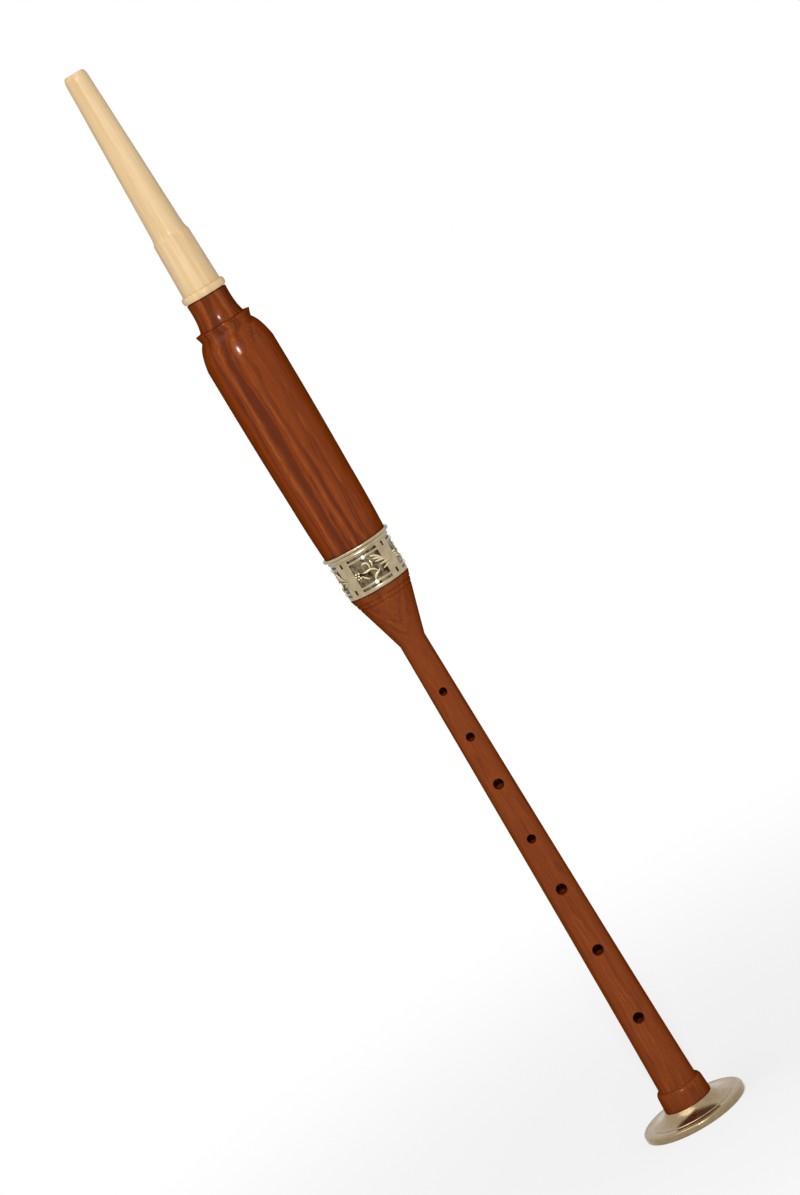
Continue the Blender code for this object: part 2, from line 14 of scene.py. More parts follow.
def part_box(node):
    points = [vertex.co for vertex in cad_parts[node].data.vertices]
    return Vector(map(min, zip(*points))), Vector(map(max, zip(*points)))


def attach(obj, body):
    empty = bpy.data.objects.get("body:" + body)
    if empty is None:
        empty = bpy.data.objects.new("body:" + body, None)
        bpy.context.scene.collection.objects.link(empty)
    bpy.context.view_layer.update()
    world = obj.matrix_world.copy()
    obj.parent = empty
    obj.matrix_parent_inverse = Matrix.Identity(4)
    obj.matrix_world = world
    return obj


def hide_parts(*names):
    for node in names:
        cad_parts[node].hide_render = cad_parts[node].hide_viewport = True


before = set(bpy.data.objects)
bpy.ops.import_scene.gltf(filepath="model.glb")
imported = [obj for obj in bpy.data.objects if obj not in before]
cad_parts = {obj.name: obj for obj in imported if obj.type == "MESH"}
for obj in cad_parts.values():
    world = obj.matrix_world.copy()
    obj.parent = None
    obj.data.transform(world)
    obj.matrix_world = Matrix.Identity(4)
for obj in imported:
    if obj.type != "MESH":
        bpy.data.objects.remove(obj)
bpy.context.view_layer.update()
MM = 0.001

# %% [markdown]
# ## The camera
# The instrument stands on its sole. The photographer held a long lens a little above it and tilted the
# picture, so the mouthpiece points up and to the left. A camera that is aimed at the middle and then
# rolled about its own view gives the same picture without moving the instrument.

# %% Camera
AIM_HEIGHT = 251.0 * MM
AIM_ASIDE = 5.3 * MM
VIEW_DISTANCE = 1556.0 * MM
VIEW_ELEVATION = math.radians(7.7)
VIEW_ROLL = math.radians(-30.9)
LENS = 115.8
SENSOR = 36.0


def placed(name, data):
    """Put a camera, a lamp or a mesh into the scene."""
    made = bpy.data.objects.new(name, data)
    bpy.context.scene.collection.objects.link(made)
    return made


view = bpy.data.cameras.new("photo_view")
view.lens = LENS
view.sensor_width = SENSOR
view.clip_start = 0.1
camera = placed("photo_view", view)
back = Vector((0.0, -math.cos(VIEW_ELEVATION), math.sin(VIEW_ELEVATION)))
tilt = (-back).to_track_quat("-Z", "Y") @ Quaternion((0.0, 0.0, 1.0), VIEW_ROLL)
aim = Vector((0.0, 0.0, AIM_HEIGHT)) + tilt @ Vector((AIM_ASIDE, 0.0, 0.0))
camera.rotation_mode = "QUATERNION"
camera.rotation_quaternion = tilt
camera.location = aim + back * VIEW_DISTANCE
bpy.context.scene.camera = camera
print("camera at", [round(value, 3) for value in camera.location])

# %% [markdown]
# ## Lamps
# A small lamp above the camera draws the narrow shine down the middle of each turned piece. A wide one
# overhead softens the shadow. More lamps would draw more lines of shine than the photograph has.

# %% Lamps
KEY_DISTANCE, KEY_RAISE = 1.5, 0.42
KEY_SIZE, KEY_POWER = 0.14, 12.0
TOP_PLACE = (-0.5, -0.3, 1.7)
TOP_SIZE, TOP_POWER = 1.1, 7.0


def add_lamp(name, place, size, power):
    """A square lamp that faces the middle of the instrument."""
    lamp = bpy.data.lights.new(name, "AREA")
    lamp.shape = "SQUARE"
    lamp.size = size
    lamp.energy = power
    holder = placed(name, lamp)
    holder.location = place
    holder.rotation_euler = (aim - holder.location).to_track_quat("-Z", "Y").to_euler()


add_lamp("lamp_by_camera", aim + back * KEY_DISTANCE + Vector((0.0, 0.0, KEY_RAISE)), KEY_SIZE, KEY_POWER)
add_lamp("lamp_overhead", TOP_PLACE, TOP_SIZE, TOP_POWER)
bpy.context.scene.view_settings.view_transform = "Standard"
print("lamps of", KEY_POWER, "and", TOP_POWER, "watts")

# %% [markdown]
# ## Small words for nodes
# A finish is a tree of nodes, and each node takes several lines to place and wire. A few short
# functions do that, so a finish below reads like a recipe.

# %% Node helpers
def feed(tree, node, sockets):
    """Give a node's sockets their values, or link them to other sockets."""
    for socket, value in sockets.items():
        if isinstance(value, bpy.types.NodeSocket):
            tree.links.new(value, node.inputs[socket])
        else:
            node.inputs[socket].default_value = value


def add(tree, kind, inputs=None, **settings):
    """Add a node, set it up and feed it."""
    made = tree.nodes.new("ShaderNode" + kind)
    for name, value in settings.items():
        setattr(made, name, value)
    feed(tree, made, inputs or {})
    return made


def maths(tree, operation, first, second=0.0):
    return add(tree, "Math", {0: first, 1: second}, operation=operation).outputs[0]


def ramp(tree, value, low, high, to_low=0.0, to_high=1.0):
    """Carry a value smoothly from one range to another."""
    limits = {"Value": value, "From Min": low, "From Max": high, "To Min": to_low, "To Max": to_high}
    return add(tree, "MapRange", limits, interpolation_type="SMOOTHSTEP").outputs["Result"]


print("helpers for nodes: feed, add, maths and ramp")


# %% Helpers for places and noise
def scaled(tree, vector, *factors):
    return add(tree, "VectorMath", {0: vector, 1: factors}, operation="MULTIPLY").outputs[0]


def length(tree, vector):
    return add(tree, "VectorMath", {0: vector}, operation="LENGTH").outputs["Value"]


def from_axis(tree, vector):
    """Distance from the upright axis."""
    return length(tree, scaled(tree, vector, 1.0, 1.0, 0.0))


def cloud(tree, vector, scale, detail=2.0, roughness=0.5):
    """Noise between 0 and 1."""
    sockets = {"Vector": vector, "Scale": scale, "Detail": detail, "Roughness": roughness}
    return add(tree, "TexNoise", sockets).outputs["Fac"]


def layered(tree, path):
    """Noise between 0 and 1 along one path, so that it changes in sheets."""
    sockets = {"W": path, "Scale": 1.0, "Detail": 3.0}
    return add(tree, "TexNoise", sockets, noise_dimensions="1D").outputs["Fac"]


def mixed(tree, share, first, second, blend="MIX"):
    node = add(tree, "Mix", {0: share, 6: first, 7: second}, data_type="RGBA", blend_type=blend)
    return node.outputs[2]


print("helpers for patterns: scaled, length, from_axis, cloud, layered and mixed")

# %% [markdown]
# ## The room
# The pale world fills what the lamps leave, so a colour shows about as it is written. The camera, metal
# and glass see it plain white. Far from the instrument the ground glows plain white too, so that no
# horizon shows. Close by, nearly half of that glow gives way to a matt white that keeps the shadow.

# %% World
WORLD_LEVEL = 0.44
WHITE = (1.0, 1.0, 1.0, 1.0)


def seen_directly(tree):
    """1 where the camera sees a thing straight, or in metal or through glass."""
    rays = add(tree, "LightPath").outputs
    straight = maths(tree, "MAXIMUM", rays["Is Camera Ray"], rays["Is Glossy Ray"])
    return maths(tree, "MAXIMUM", straight, rays["Is Transmission Ray"])


world = bpy.data.worlds.new("pale_room")
bpy.context.scene.world = world
world.use_nodes = True
room = world.node_tree
room.nodes.clear()
soft = add(room, "Background", {"Color": WHITE, "Strength": WORLD_LEVEL}).outputs[0]
white = add(room, "Background", {"Color": WHITE, "Strength": 1.0}).outputs[0]
sky = add(room, "MixShader", {0: seen_directly(room), 1: soft, 2: white}).outputs[0]
add(room, "OutputWorld", {"Surface": sky})
print("world level", WORLD_LEVEL)

# %% Ground
GROUND_SIZE = 6.0
GROUND_PAINT = (0.93, 0.93, 0.93, 1.0)
GLOW_FROM, GLOW_TO = 0.05, 0.5
GLOW_NEAR, GLOW_FAR = 0.55, 1.0


def as_object(name, shape):
    """Turn a finished shape into an object of the scene."""
    mesh = bpy.data.meshes.new(name)
    shape.to_mesh(mesh)
    shape.free()
    return placed(name, mesh)


sheet = bmesh.new()
bmesh.ops.create_grid(sheet, x_segments=1, y_segments=1, size=GROUND_SIZE / 2)
ground = as_object("ground", sheet)

matt = bpy.data.materials.new("white_ground")
matt.use_nodes = True
tree = matt.node_tree
tree.nodes.clear()
reach = length(tree, add(tree, "TexCoord").outputs["Object"])
paint = add(tree, "BsdfDiffuse", {"Color": GROUND_PAINT}).outputs[0]
glow = add(tree, "Emission", {"Color": WHITE, "Strength": 1.0}).outputs[0]
far = ramp(tree, reach, GLOW_FROM, GLOW_TO, GLOW_NEAR, GLOW_FAR)
share = maths(tree, "MULTIPLY", far, seen_directly(tree))
surface = add(tree, "MixShader", {0: share, 1: paint, 2: glow}).outputs[0]
add(tree, "OutputMaterial", {"Surface": surface})
ground.data.materials.append(matt)
print("ground is", GROUND_SIZE, "m across")

# %% [markdown]
# ## Effects that several finishes share
# A finish is rarely one colour. What repeats from one material to the next becomes a node group with
# named sockets: the lines that a lathe leaves, the smudges of handling, the tarnish in hollows, and
# the lie of fibres. Each reads the piece's own coordinates, so the pattern travels with the piece.

# %% Group helpers
SOCKETS = {"value": "NodeSocketFloat", "vector": "NodeSocketVector", "colour": "NodeSocketColor"}


def new_group(name, takes, gives):
    """A shader group with named sockets. Returns it with its inner ends."""
    group = bpy.data.node_groups.new(name, "ShaderNodeTree")
    for label, kind in takes.items():
        group.interface.new_socket(label, in_out="INPUT", socket_type=SOCKETS[kind])
    for label, kind in gives.items():
        group.interface.new_socket(label, in_out="OUTPUT", socket_type=SOCKETS[kind])
    print("group:", name)
    return group, group.nodes.new("NodeGroupInput").outputs, group.nodes.new("NodeGroupOutput").inputs


def use(tree, group, **values):
    """Place a group in a tree, with its sockets fed by name."""
    return add(tree, "Group", values, node_tree=group).outputs


print("kinds of socket:", ", ".join(SOCKETS))


# %% Lathe lines
def make_lathe_lines():
    """Fine rings round the axis, on a side and on a face alike."""
    takes = {"Vector": "vector", "Spacing": "value"}
    group, takes, gives = new_group("lathe_lines", takes, {"Height": "value"})
    rise = add(group, "SeparateXYZ", {0: takes["Vector"]}).outputs["Z"]
    path = maths(group, "ADD", from_axis(group, takes["Vector"]), rise)
    group.links.new(layered(group, maths(group, "DIVIDE", path, takes["Spacing"])), gives["Height"])
    return group


lathe_lines = make_lathe_lines()


# %% Smudges of handling
def make_handling():
    """Broad smudges with fine rubbed specks in them."""
    group, takes, gives = new_group("handling", {"Vector": "vector", "Size": "value"}, {"Mask": "value"})
    per_size = maths(group, "DIVIDE", 1.0, takes["Size"])
    broad = ramp(group, cloud(group, takes["Vector"], per_size, 3.0), 0.35, 0.7)
    specks = cloud(group, takes["Vector"], maths(group, "MULTIPLY", per_size, 9.0), 4.0, 0.7)
    group.links.new(maths(group, "MULTIPLY", broad, specks), gives["Mask"])
    return group


handling = make_handling()

# %% Tarnish
TARNISH_DEPTH = 0.3 * MM


def make_tarnish():
    """Dark film in hollows and below a level, where a cloth can't reach, and a thin cover elsewhere."""
    takes = {"Vector": "vector", "Reach": "value", "Cover": "value", "Level": "value"}
    group, takes, gives = new_group("tarnish", takes, {"Mask": "value"})
    open_sky = add(group, "AmbientOcclusion", {"Distance": takes["Reach"]}, samples=8).outputs["AO"]
    below = maths(group, "SUBTRACT", takes["Level"], from_axis(group, takes["Vector"]))
    sunk = ramp(group, below, 0.0, TARNISH_DEPTH)
    hollow = maths(group, "MAXIMUM", ramp(group, open_sky, 0.9, 0.3), sunk)
    film = ramp(group, cloud(group, takes["Vector"], 420.0, 3.0), 0.3, 0.7, 0.6, 1.0)
    thin = maths(group, "MULTIPLY", takes["Cover"], film)
    gathered = maths(group, "MULTIPLY", hollow, film)
    group.links.new(maths(group, "MAXIMUM", gathered, thin), gives["Mask"])
    return group


tarnish = make_tarnish()


# %% Fibres of a thread
def make_fibres():
    """Streaks on a wound thread. Round and Along say how often they change each way."""
    takes = {"Vector": "vector", "Round": "value", "Along": "value"}
    group, takes, gives = new_group("fibres", takes, {"Value": "value"})
    parts = add(group, "SeparateXYZ", {0: takes["Vector"]}).outputs
    angle = maths(group, "ARCTAN2", parts["Y"], parts["X"])
    round_way = maths(group, "MULTIPLY", angle, takes["Round"])
    along_way = maths(group, "MULTIPLY", parts["Z"], takes["Along"])
    lay = add(group, "CombineXYZ", {"X": round_way, "Y": along_way}).outputs[0]
    group.links.new(cloud(group, lay, 1.0, 4.0, 0.65), gives["Value"])
    return group


fibres = make_fibres()

# %% [markdown]
# ## Rosewood
# Each blank is cut beside the heart of its log, so the growth layers cross it as gently bent sheets.
# Distance from that heart gives those layers. Long noise breaks them into streaks, one dark layer with
# a pale line beside it is given its place, very long fine noise makes the fibre, and short dark dashes are
# the open pores. An image of wood would end at the piece's skin, but this figure runs through it, also
# into the holes.

# %% Sway and one dark layer
SWAY = 4.5


def swaying(tree, grain):
    """Grain coordinates that wander sideways a little on their way up."""
    drift = add(tree, "TexNoise", {"Vector": scaled(tree, grain, 0.04, 0.04, 0.008), "Detail": 2.0})
    centred = {0: drift.outputs["Color"], 1: (0.5, 0.5, 0.5)}
    centred = add(tree, "VectorMath", centred, operation="SUBTRACT").outputs[0]
    return add(tree, "VectorMath", {0: grain, 1: scaled(tree, centred, SWAY, SWAY, 0.0)}).outputs[0]


def stripe(tree, off, half, wide, narrow):
    """1 within a narrow share of the half width, fading to 0 at a wide share."""
    return ramp(tree, maths(tree, "DIVIDE", maths(tree, "ABSOLUTE", off), half), wide, narrow)


def dark_layer(tree, depth, band):
    """What one dark layer takes from the tone, and its pale line gives to it."""
    place, half, strength = (add(tree, "SeparateXYZ", {0: band}).outputs[part] for part in "XYZ")
    off_band = maths(tree, "SUBTRACT", depth, place)
    off_line = maths(tree, "SUBTRACT", off_band, maths(tree, "MULTIPLY", half, 1.7))
    darker = maths(tree, "MULTIPLY", stripe(tree, off_band, half, 1.3, 0.5), strength)
    paler = maths(tree, "MULTIPLY", stripe(tree, off_line, half, 0.55, 0.1), strength)
    return darker, maths(tree, "MULTIPLY", paler, 0.8)


print("the grain sways by up to about", SWAY / 2, "mm")

# %% The figure of rosewood
PER_MM = 1000.0


def make_rosewood_figure():
    """Colour and relief of the wood, in mm of its log. A band has its depth, half width and strength."""
    takes = {"Vector": "vector", "Heart": "vector", "Layers": "value", "Streaks": "value", "Band": "vector"}
    takes |= {"Dark": "colour", "Middle": "colour", "Light": "colour"}
    group, takes, gives = new_group("rosewood_figure", takes, {"Color": "colour", "Height": "value"})
    grain = scaled(group, takes["Vector"], PER_MM, PER_MM, PER_MM)
    place = swaying(group, grain)
    offset = add(group, "VectorMath", {0: place, 1: takes["Heart"]}, operation="SUBTRACT").outputs[0]
    depth = from_axis(group, offset)
    layers = layered(group, maths(group, "MULTIPLY", depth, takes["Layers"]))
    streaks = cloud(group, scaled(group, place, 1.2, 1.2, 0.009), 1.0, 4.0, 0.6)
    tone = add(group, "Mix", {0: takes["Streaks"], 2: layers, 3: streaks}).outputs[0]
    darker, paler = dark_layer(group, depth, takes["Band"])
    tone = maths(group, "ADD", maths(group, "SUBTRACT", tone, darker), paler)
    colour = mixed(group, ramp(group, tone, 0.34, 0.52), takes["Dark"], takes["Middle"])
    colour = mixed(group, ramp(group, tone, 0.54, 0.72), colour, takes["Light"])
    fibre = cloud(group, scaled(group, grain, 3.4, 3.4, 0.09), 1.0, 3.0, 0.6)
    shade = ramp(group, fibre, 0.25, 0.75, 0.78, 1.2)
    shade = add(group, "CombineXYZ", {0: shade, 1: shade, 2: shade}).outputs[0]
    colour = mixed(group, 1.0, colour, shade, "MULTIPLY")
    pores = ramp(group, cloud(group, scaled(group, grain, 7.0, 7.0, 0.35), 1.0, 2.0), 0.6, 0.68)
    colour = mixed(group, maths(group, "MULTIPLY", pores, 0.45), colour, takes["Dark"])
    group.links.new(colour, gives["Color"])
    group.links.new(maths(group, "SUBTRACT", maths(group, "MULTIPLY", fibre, 0.25), pores), gives["Height"])
    return group


rosewood_figure = make_rosewood_figure()


# %% Helpers for finishes
def srgb(red, green, blue):
    """A colour given as it shows on a screen, from 0 to 255."""
    return (*(((part / 255 + 0.055) / 1.055) ** 2.4 for part in (red, green, blue)), 1.0)


def new_finish(name):
    """A material with its tree and the piece's own coordinates."""
    material = bpy.data.materials.new(name)
    material.use_nodes = True
    tree = material.node_tree
    return material, tree, add(tree, "TexCoord").outputs["Object"]


def dressed(material, relief, depth, **sockets):
    """Feed a material's Principled shader by the names of its sockets, with its relief as a bump."""
    tree = material.node_tree
    bump = add(tree, "Bump", {"Height": relief, "Distance": depth, "Strength": 1.0})
    named = {label.replace("_", " "): value for label, value in sockets.items()}
    feed(tree, tree.nodes["Principled BSDF"], named | {"Normal": bump.outputs["Normal"]})
    return material


def turning_away(tree):
    """0 where a face looks at the camera, 1 at the rim, where the real piece mirrors a dark room. Finishes
    darken their colour there with painted shade.
    """
    return add(tree, "LayerWeight", {"Blend": 0.5}).outputs["Facing"]


print("a middle grey in linear light:", round(srgb(128, 128, 128)[0], 3))

# %% Rosewood
WOOD_SHINE, WOOD_COAT = 0.14, 0.34
# Painted shade: the colour the wood darkens to at its rim, for the dark room it would mirror there.
WOOD_RIM_SHADE = srgb(74, 28, 2)
WOOD_SMUDGE = 12.0 * MM
WOOD_LATHE = 0.35 * MM


def rosewood(name, shift, **log):
    """Oiled and polished rosewood. The shift, in metres, says where in its log a blank was cut."""
    material, tree, spot = new_finish(name)
    rim = turning_away(tree)
    spot = add(tree, "Mapping", {"Vector": spot, "Location": shift}).outputs[0]
    figure = use(tree, rosewood_figure, Vector=spot, **log)
    rubbed = use(tree, handling, Vector=spot, Size=WOOD_SMUDGE)["Mask"]
    lines = use(tree, lathe_lines, Vector=spot, Spacing=WOOD_LATHE)["Height"]
    return dressed(
        material,
        maths(tree, "ADD", figure["Height"], maths(tree, "MULTIPLY", lines, 0.35)),
        0.03 * MM,
        # Painted shade darkens the wood's colour towards the rim.
        Base_Color=mixed(tree, ramp(tree, rim, 0.4, 0.95, 0.0, 0.55), figure["Color"], WOOD_RIM_SHADE),
        Roughness=ramp(tree, rubbed, 0.0, 0.5, 0.3, 0.42),
        Specular_IOR_Level=ramp(tree, rim, 0.05, 0.5, WOOD_SHINE, 0.0),
        Specular_Tint=srgb(255, 170, 90),
        Coat_Weight=ramp(tree, rim, 0.05, 0.5, WOOD_COAT, 0.0),
        Coat_Roughness=0.15,
        Coat_IOR=1.4,
    )


print("the shine fades from", WOOD_SHINE, "to 0 towards the rim")

# %% Two rosewoods
barrel_wood = rosewood(
    "rosewood_barrel",
    (0.0, 0.0, 0.0),
    Heart=(-38.0, 14.0, 0.0),
    Layers=0.34,
    Streaks=0.5,
    Band=(44.6, 1.7, 0.17),
    Dark=srgb(92, 33, 4),
    Middle=srgb(126, 53, 9),
    Light=srgb(148, 77, 24),
)
chanter_wood = rosewood(
    "rosewood_chanter",
    (0.031, 0.02, 0.1),
    Heart=(22.0, -60.0, 0.0),
    Layers=0.5,
    Streaks=0.6,
    Band=(0.0, 1.0, 0.0),
    Dark=srgb(106, 42, 7),
    Middle=srgb(126, 55, 12),
    Light=srgb(138, 68, 22),
)
print("woods:", barrel_wood.name, chanter_wood.name)

# %% [markdown]
# ## Ivory-coloured plastic
# The mouthpiece is cast, so its figure is faint and runs lengthwise. A little light goes into the
# plastic and comes out again, which softens it. Towards its rim the colour is deepened with painted
# shade. One even colour would look painted.

# %% Ivory
# Painted shade: the colour the plastic darkens to at its rim.
IVORY_RIM_SHADE = srgb(176, 138, 88)
IVORY_BLUSH = srgb(206, 172, 124)


def ivory():
    material, tree, spot = new_finish("ivory_plastic")
    figure = cloud(tree, scaled(tree, spot, 420.0, 420.0, 14.0), 1.0, 3.0, 0.6)
    blush = cloud(tree, spot, 45.0, 2.0)
    colour = mixed(tree, ramp(tree, figure, 0.3, 0.7), srgb(213, 180, 132), srgb(229, 200, 155))
    colour = mixed(tree, ramp(tree, blush, 0.45, 0.8, 0.0, 0.35), colour, IVORY_BLUSH)
    rubbed = use(tree, handling, Vector=spot, Size=10.0 * MM)["Mask"]
    return dressed(
        material,
        use(tree, lathe_lines, Vector=spot, Spacing=0.3 * MM)["Height"],
        0.003 * MM,
        # Painted shade deepens the colour towards the rim.
        Base_Color=mixed(tree, ramp(tree, turning_away(tree), 0.35, 1.0), colour, IVORY_RIM_SHADE),
        Roughness=ramp(tree, rubbed, 0.0, 0.5, 0.3, 0.42),
        Subsurface_Weight=0.12,
        Subsurface_Scale=1.5 * MM,
        Specular_IOR_Level=0.25,
        Coat_Weight=0.03,
        Coat_Roughness=0.15,
    )


ivory_plastic = ivory()
print("plastic:", ivory_plastic.name)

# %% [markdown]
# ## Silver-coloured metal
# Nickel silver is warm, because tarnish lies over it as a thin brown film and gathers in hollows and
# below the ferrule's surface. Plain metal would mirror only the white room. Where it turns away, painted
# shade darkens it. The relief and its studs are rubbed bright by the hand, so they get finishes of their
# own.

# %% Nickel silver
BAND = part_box("ferrule")[1].x - 1.6 * MM
FERRULE_LATHE = 0.2 * MM


def silver(name, bright, film, rough, reach, cover, dim, spacing=FERRULE_LATHE, level=0.0):
    """Nickel silver with its brown film.

    Reach is how near a wall must be to hold film, cover how much film lies in the open, and dim how far
    painted shade darkens the metal where it turns away. Film gathers below the level, a distance from the
    axis.
    """
    material, tree, spot = new_finish(name)
    film_and_shade = use(tree, tarnish, Vector=spot, Reach=reach, Cover=cover, Level=level)["Mask"]
    # Painted shade darkens the metal where it turns away, on top of the real film.
    film_and_shade = maths(tree, "MAXIMUM", film_and_shade, ramp(tree, turning_away(tree), 0.1, 0.8, 0.0, dim))
    rubbed = use(tree, handling, Vector=spot, Size=6.0 * MM)["Mask"]
    lines = use(tree, lathe_lines, Vector=spot, Spacing=spacing)["Height"]
    worn = ramp(tree, rubbed, 0.0, 0.6, rough, rough + 0.12)
    return dressed(
        material,
        maths(tree, "ADD", lines, maths(tree, "MULTIPLY", rubbed, 0.6)),
        0.012 * MM,
        Metallic=1.0,
        Base_Color=mixed(tree, film_and_shade, bright, film),
        Roughness=maths(tree, "ADD", worn, maths(tree, "MULTIPLY", film_and_shade, 0.2)),
    )


print("the band's surface lies", round(BAND / MM, 2), "mm from the axis")

# %% Four silvers
ferrule_metal = silver(
    "silver_ferrule",
    bright=srgb(212, 193, 157),
    film=srgb(44, 28, 11),
    rough=0.16,
    reach=1.1 * MM,
    cover=0.42,
    dim=0.6,
    level=BAND - 0.1 * MM,
)
relief_metal = silver(
    "silver_relief",
    bright=srgb(236, 216, 172),
    film=srgb(50, 32, 12),
    rough=0.2,
    reach=0.6 * MM,
    cover=0.12,
    dim=0.8,
)
stud_metal = silver(
    "silver_studs",
    bright=srgb(250, 244, 232),
    film=srgb(60, 42, 20),
    rough=0.3,
    reach=0.5 * MM,
    cover=0.0,
    dim=0.8,
)
sole_metal = silver(
    "silver_sole",
    bright=srgb(172, 151, 118),
    film=srgb(92, 70, 42),
    rough=0.12,
    reach=1.5 * MM,
    cover=0.36,
    dim=0.2,
    spacing=0.26 * MM,
)
print("metals:", ferrule_metal.name, relief_metal.name, stud_metal.name, sole_metal.name)

# %% [markdown]
# ## The reed's stuff and the hemp
# The reed has a brass tube and a copper band. Its cane keeps the polished bark below and is scraped to
# the paler inner wood towards the lip. Hemp and thread show their fibres along each turn.

# %% Brass and copper
def yellow_metal(name, bright, film, rough):
    """Brass or copper of the reed, dulled a little where it is handled."""
    material, tree, spot = new_finish(name)
    rubbed = use(tree, handling, Vector=spot, Size=2.0 * MM)["Mask"]
    lines = use(tree, lathe_lines, Vector=spot, Spacing=0.12 * MM)["Height"]
    colour = mixed(tree, ramp(tree, rubbed, 0.05, 0.5, 0.0, 0.4), bright, film)
    worn = ramp(tree, rubbed, 0.0, 0.5, rough, rough + 0.15)
    return dressed(material, lines, 0.006 * MM, Metallic=1.0, Base_Color=colour, Roughness=worn)


staple_brass = yellow_metal("brass_staple", srgb(214, 176, 96), srgb(120, 84, 34), 0.2)
bridle_copper = yellow_metal("copper_bridle", srgb(222, 142, 104), srgb(132, 70, 44), 0.2)
print("reed metals:", staple_brass.name, bridle_copper.name)


# %% Waxed thread
def thread(name, pale, deep, around, along):
    """Waxed thread with its fibres."""
    material, tree, spot = new_finish(name)
    fibre = use(tree, fibres, Vector=spot, Round=around, Along=along)["Value"]
    rubbed = use(tree, handling, Vector=spot, Size=4.0 * MM)["Mask"]
    colour = mixed(tree, ramp(tree, fibre, 0.3, 0.72), deep, pale)
    soiled = mixed(tree, ramp(tree, rubbed, 0.1, 0.6, 0.0, 0.3), colour, deep)
    worn = ramp(tree, fibre, 0.3, 0.7, 0.7, 0.9)
    wax = {"Specular_IOR_Level": 0.3, "Sheen_Weight": 0.15}
    return dressed(material, fibre, 0.05 * MM, Base_Color=soiled, Roughness=worn, **wax)


hemp = thread("waxed_hemp", srgb(212, 180, 118), srgb(142, 106, 54), 26.0, 9000.0)
binding = thread("waxed_binding", srgb(128, 66, 34), srgb(66, 28, 12), 12.0, 11000.0)
print("threads:", hemp.name, binding.name)

# %% Cane
BARK_LENGTH = 15.0 * MM
SCRAPE_FADE = 3.5 * MM
SCRAPE_WANDER = 4.0 * MM
LIP_WEAR = 3.0 * MM


def cane(scrape_from, lip):
    """Cane with straight fibres, polished bark below and a paler scraped lip above."""
    material, tree, spot = new_finish("reed_cane")
    height = add(tree, "SeparateXYZ", {0: spot}).outputs["Z"]
    fibre = cloud(tree, scaled(tree, spot, 2600.0, 900.0, 40.0), 1.0, 3.0, 0.6)
    wander = cloud(tree, scaled(tree, spot, 700.0, 700.0, 60.0), 1.0, 2.0)
    wander = maths(tree, "MULTIPLY", wander, SCRAPE_WANDER)
    scraped = ramp(tree, maths(tree, "ADD", height, wander), scrape_from, scrape_from + SCRAPE_FADE)
    bark = mixed(tree, ramp(tree, fibre, 0.3, 0.7), srgb(176, 132, 62), srgb(204, 164, 88))
    inner = mixed(tree, ramp(tree, fibre, 0.3, 0.7), srgb(214, 180, 118), srgb(232, 205, 150))
    worn = maths(tree, "MULTIPLY", ramp(tree, height, lip - LIP_WEAR, lip), 0.3)
    colour = mixed(tree, worn, mixed(tree, scraped, bark, inner), srgb(186, 150, 92))
    rough = ramp(tree, scraped, 0.0, 1.0, 0.38, 0.62)
    return dressed(material, fibre, 0.02 * MM, Base_Color=colour, Roughness=rough, Specular_IOR_Level=0.4)


blade_low, blade_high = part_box("reed_blade_front")
reed_cane = cane(blade_low.z + BARK_LENGTH, blade_high.z)
print("finishes in all:", len(bpy.data.materials))

# %% [markdown]
# ## Turning
# Every main piece comes off a lathe, so each starts as half of its section, a few points and round
# stretches. The corners that show are eased before it is spun, because no turner leaves a corner
# sharp and the small round is what catches the light.

# %% Outlines
class Bend(NamedTuple):
    """A round stretch that leaves the last point towards a corner and reaches the end from it."""

    corner: tuple
    end: tuple
    steps: int = 12


def swept(start, corner, end, steps):
    """Points of a round stretch, without its start."""
    points = []
    for step in range(1, steps + 1):
        along = step / steps
        weights = (1 - along) ** 2, 2 * along * (1 - along), along**2
        points.append(tuple(sum(w * p for w, p in zip(weights, parts)) for parts in zip(start, corner, end)))
    return points


def trace(*stops):
    """The points of an outline whose stops are points, or bends to a point."""
    points = []
    for stop in stops:
        if isinstance(stop, Bend):
            points += swept(points[-1], stop.corner, stop.end, stop.steps)
        else:
            points.append(stop)
    return points


def between(start, end, radius_share, height_share):
    """A point part of the way from start to end, with a share for each direction."""
    return tuple(a + (b - a) * share for a, b, share in zip(start, end, (radius_share, height_share)))


print("a bend in two steps:", trace((0.0, 0.0), Bend((1.0, 0.0), (1.0, 1.0), 2)))

# %% The lathe
CORNER = math.radians(28)
CORNER_STEPS = 3
MOST_OF_STRETCH = 0.4
WELD = 0.001 * MM


def eased(outline, width):
    """Round the corners of a closed outline, by no more than its short stretches allow."""
    softened = []
    for before, point, after in zip(outline[-1:] + outline[:-1], outline, outline[1:] + outline[:1]):
        corner = Vector(point)
        coming, going = corner - Vector(before), Vector(after) - corner
        if coming.angle(going, 0.0) < CORNER:
            softened.append(point)
            continue
        start = corner - coming.normalized() * min(width, MOST_OF_STRETCH * coming.length)
        end = corner + going.normalized() * min(width, MOST_OF_STRETCH * going.length)
        softened += [tuple(start), *swept(start, corner, end, CORNER_STEPS)]
    return softened


def turned(outline, segments=96):
    """Spin a closed outline of (radius, height) points into a closed shape."""
    shape = bmesh.new()
    points = [shape.verts.new((radius, 0.0, height)) for radius, height in outline]
    for first, second in zip(points, points[1:] + points[:1]):
        shape.edges.new((first, second))
    section = shape.verts[:] + shape.edges[:]
    axis = {"cent": (0, 0, 0), "axis": (0, 0, 1)}
    bmesh.ops.spin(shape, geom=section, **axis, angle=math.tau, steps=segments, use_merge=True)
    bmesh.ops.remove_doubles(shape, verts=shape.verts, dist=WELD)
    bmesh.ops.recalc_face_normals(shape, faces=shape.faces)
    return shape


square = [(1.0, 0.0), (2.0, 0.0), (2.0, 1.0), (1.0, 1.0)]
print("a square outline has", len(eased(square, 0.1)), "points once its corners are eased")

# %% Pieces
SHARP = math.radians(30)


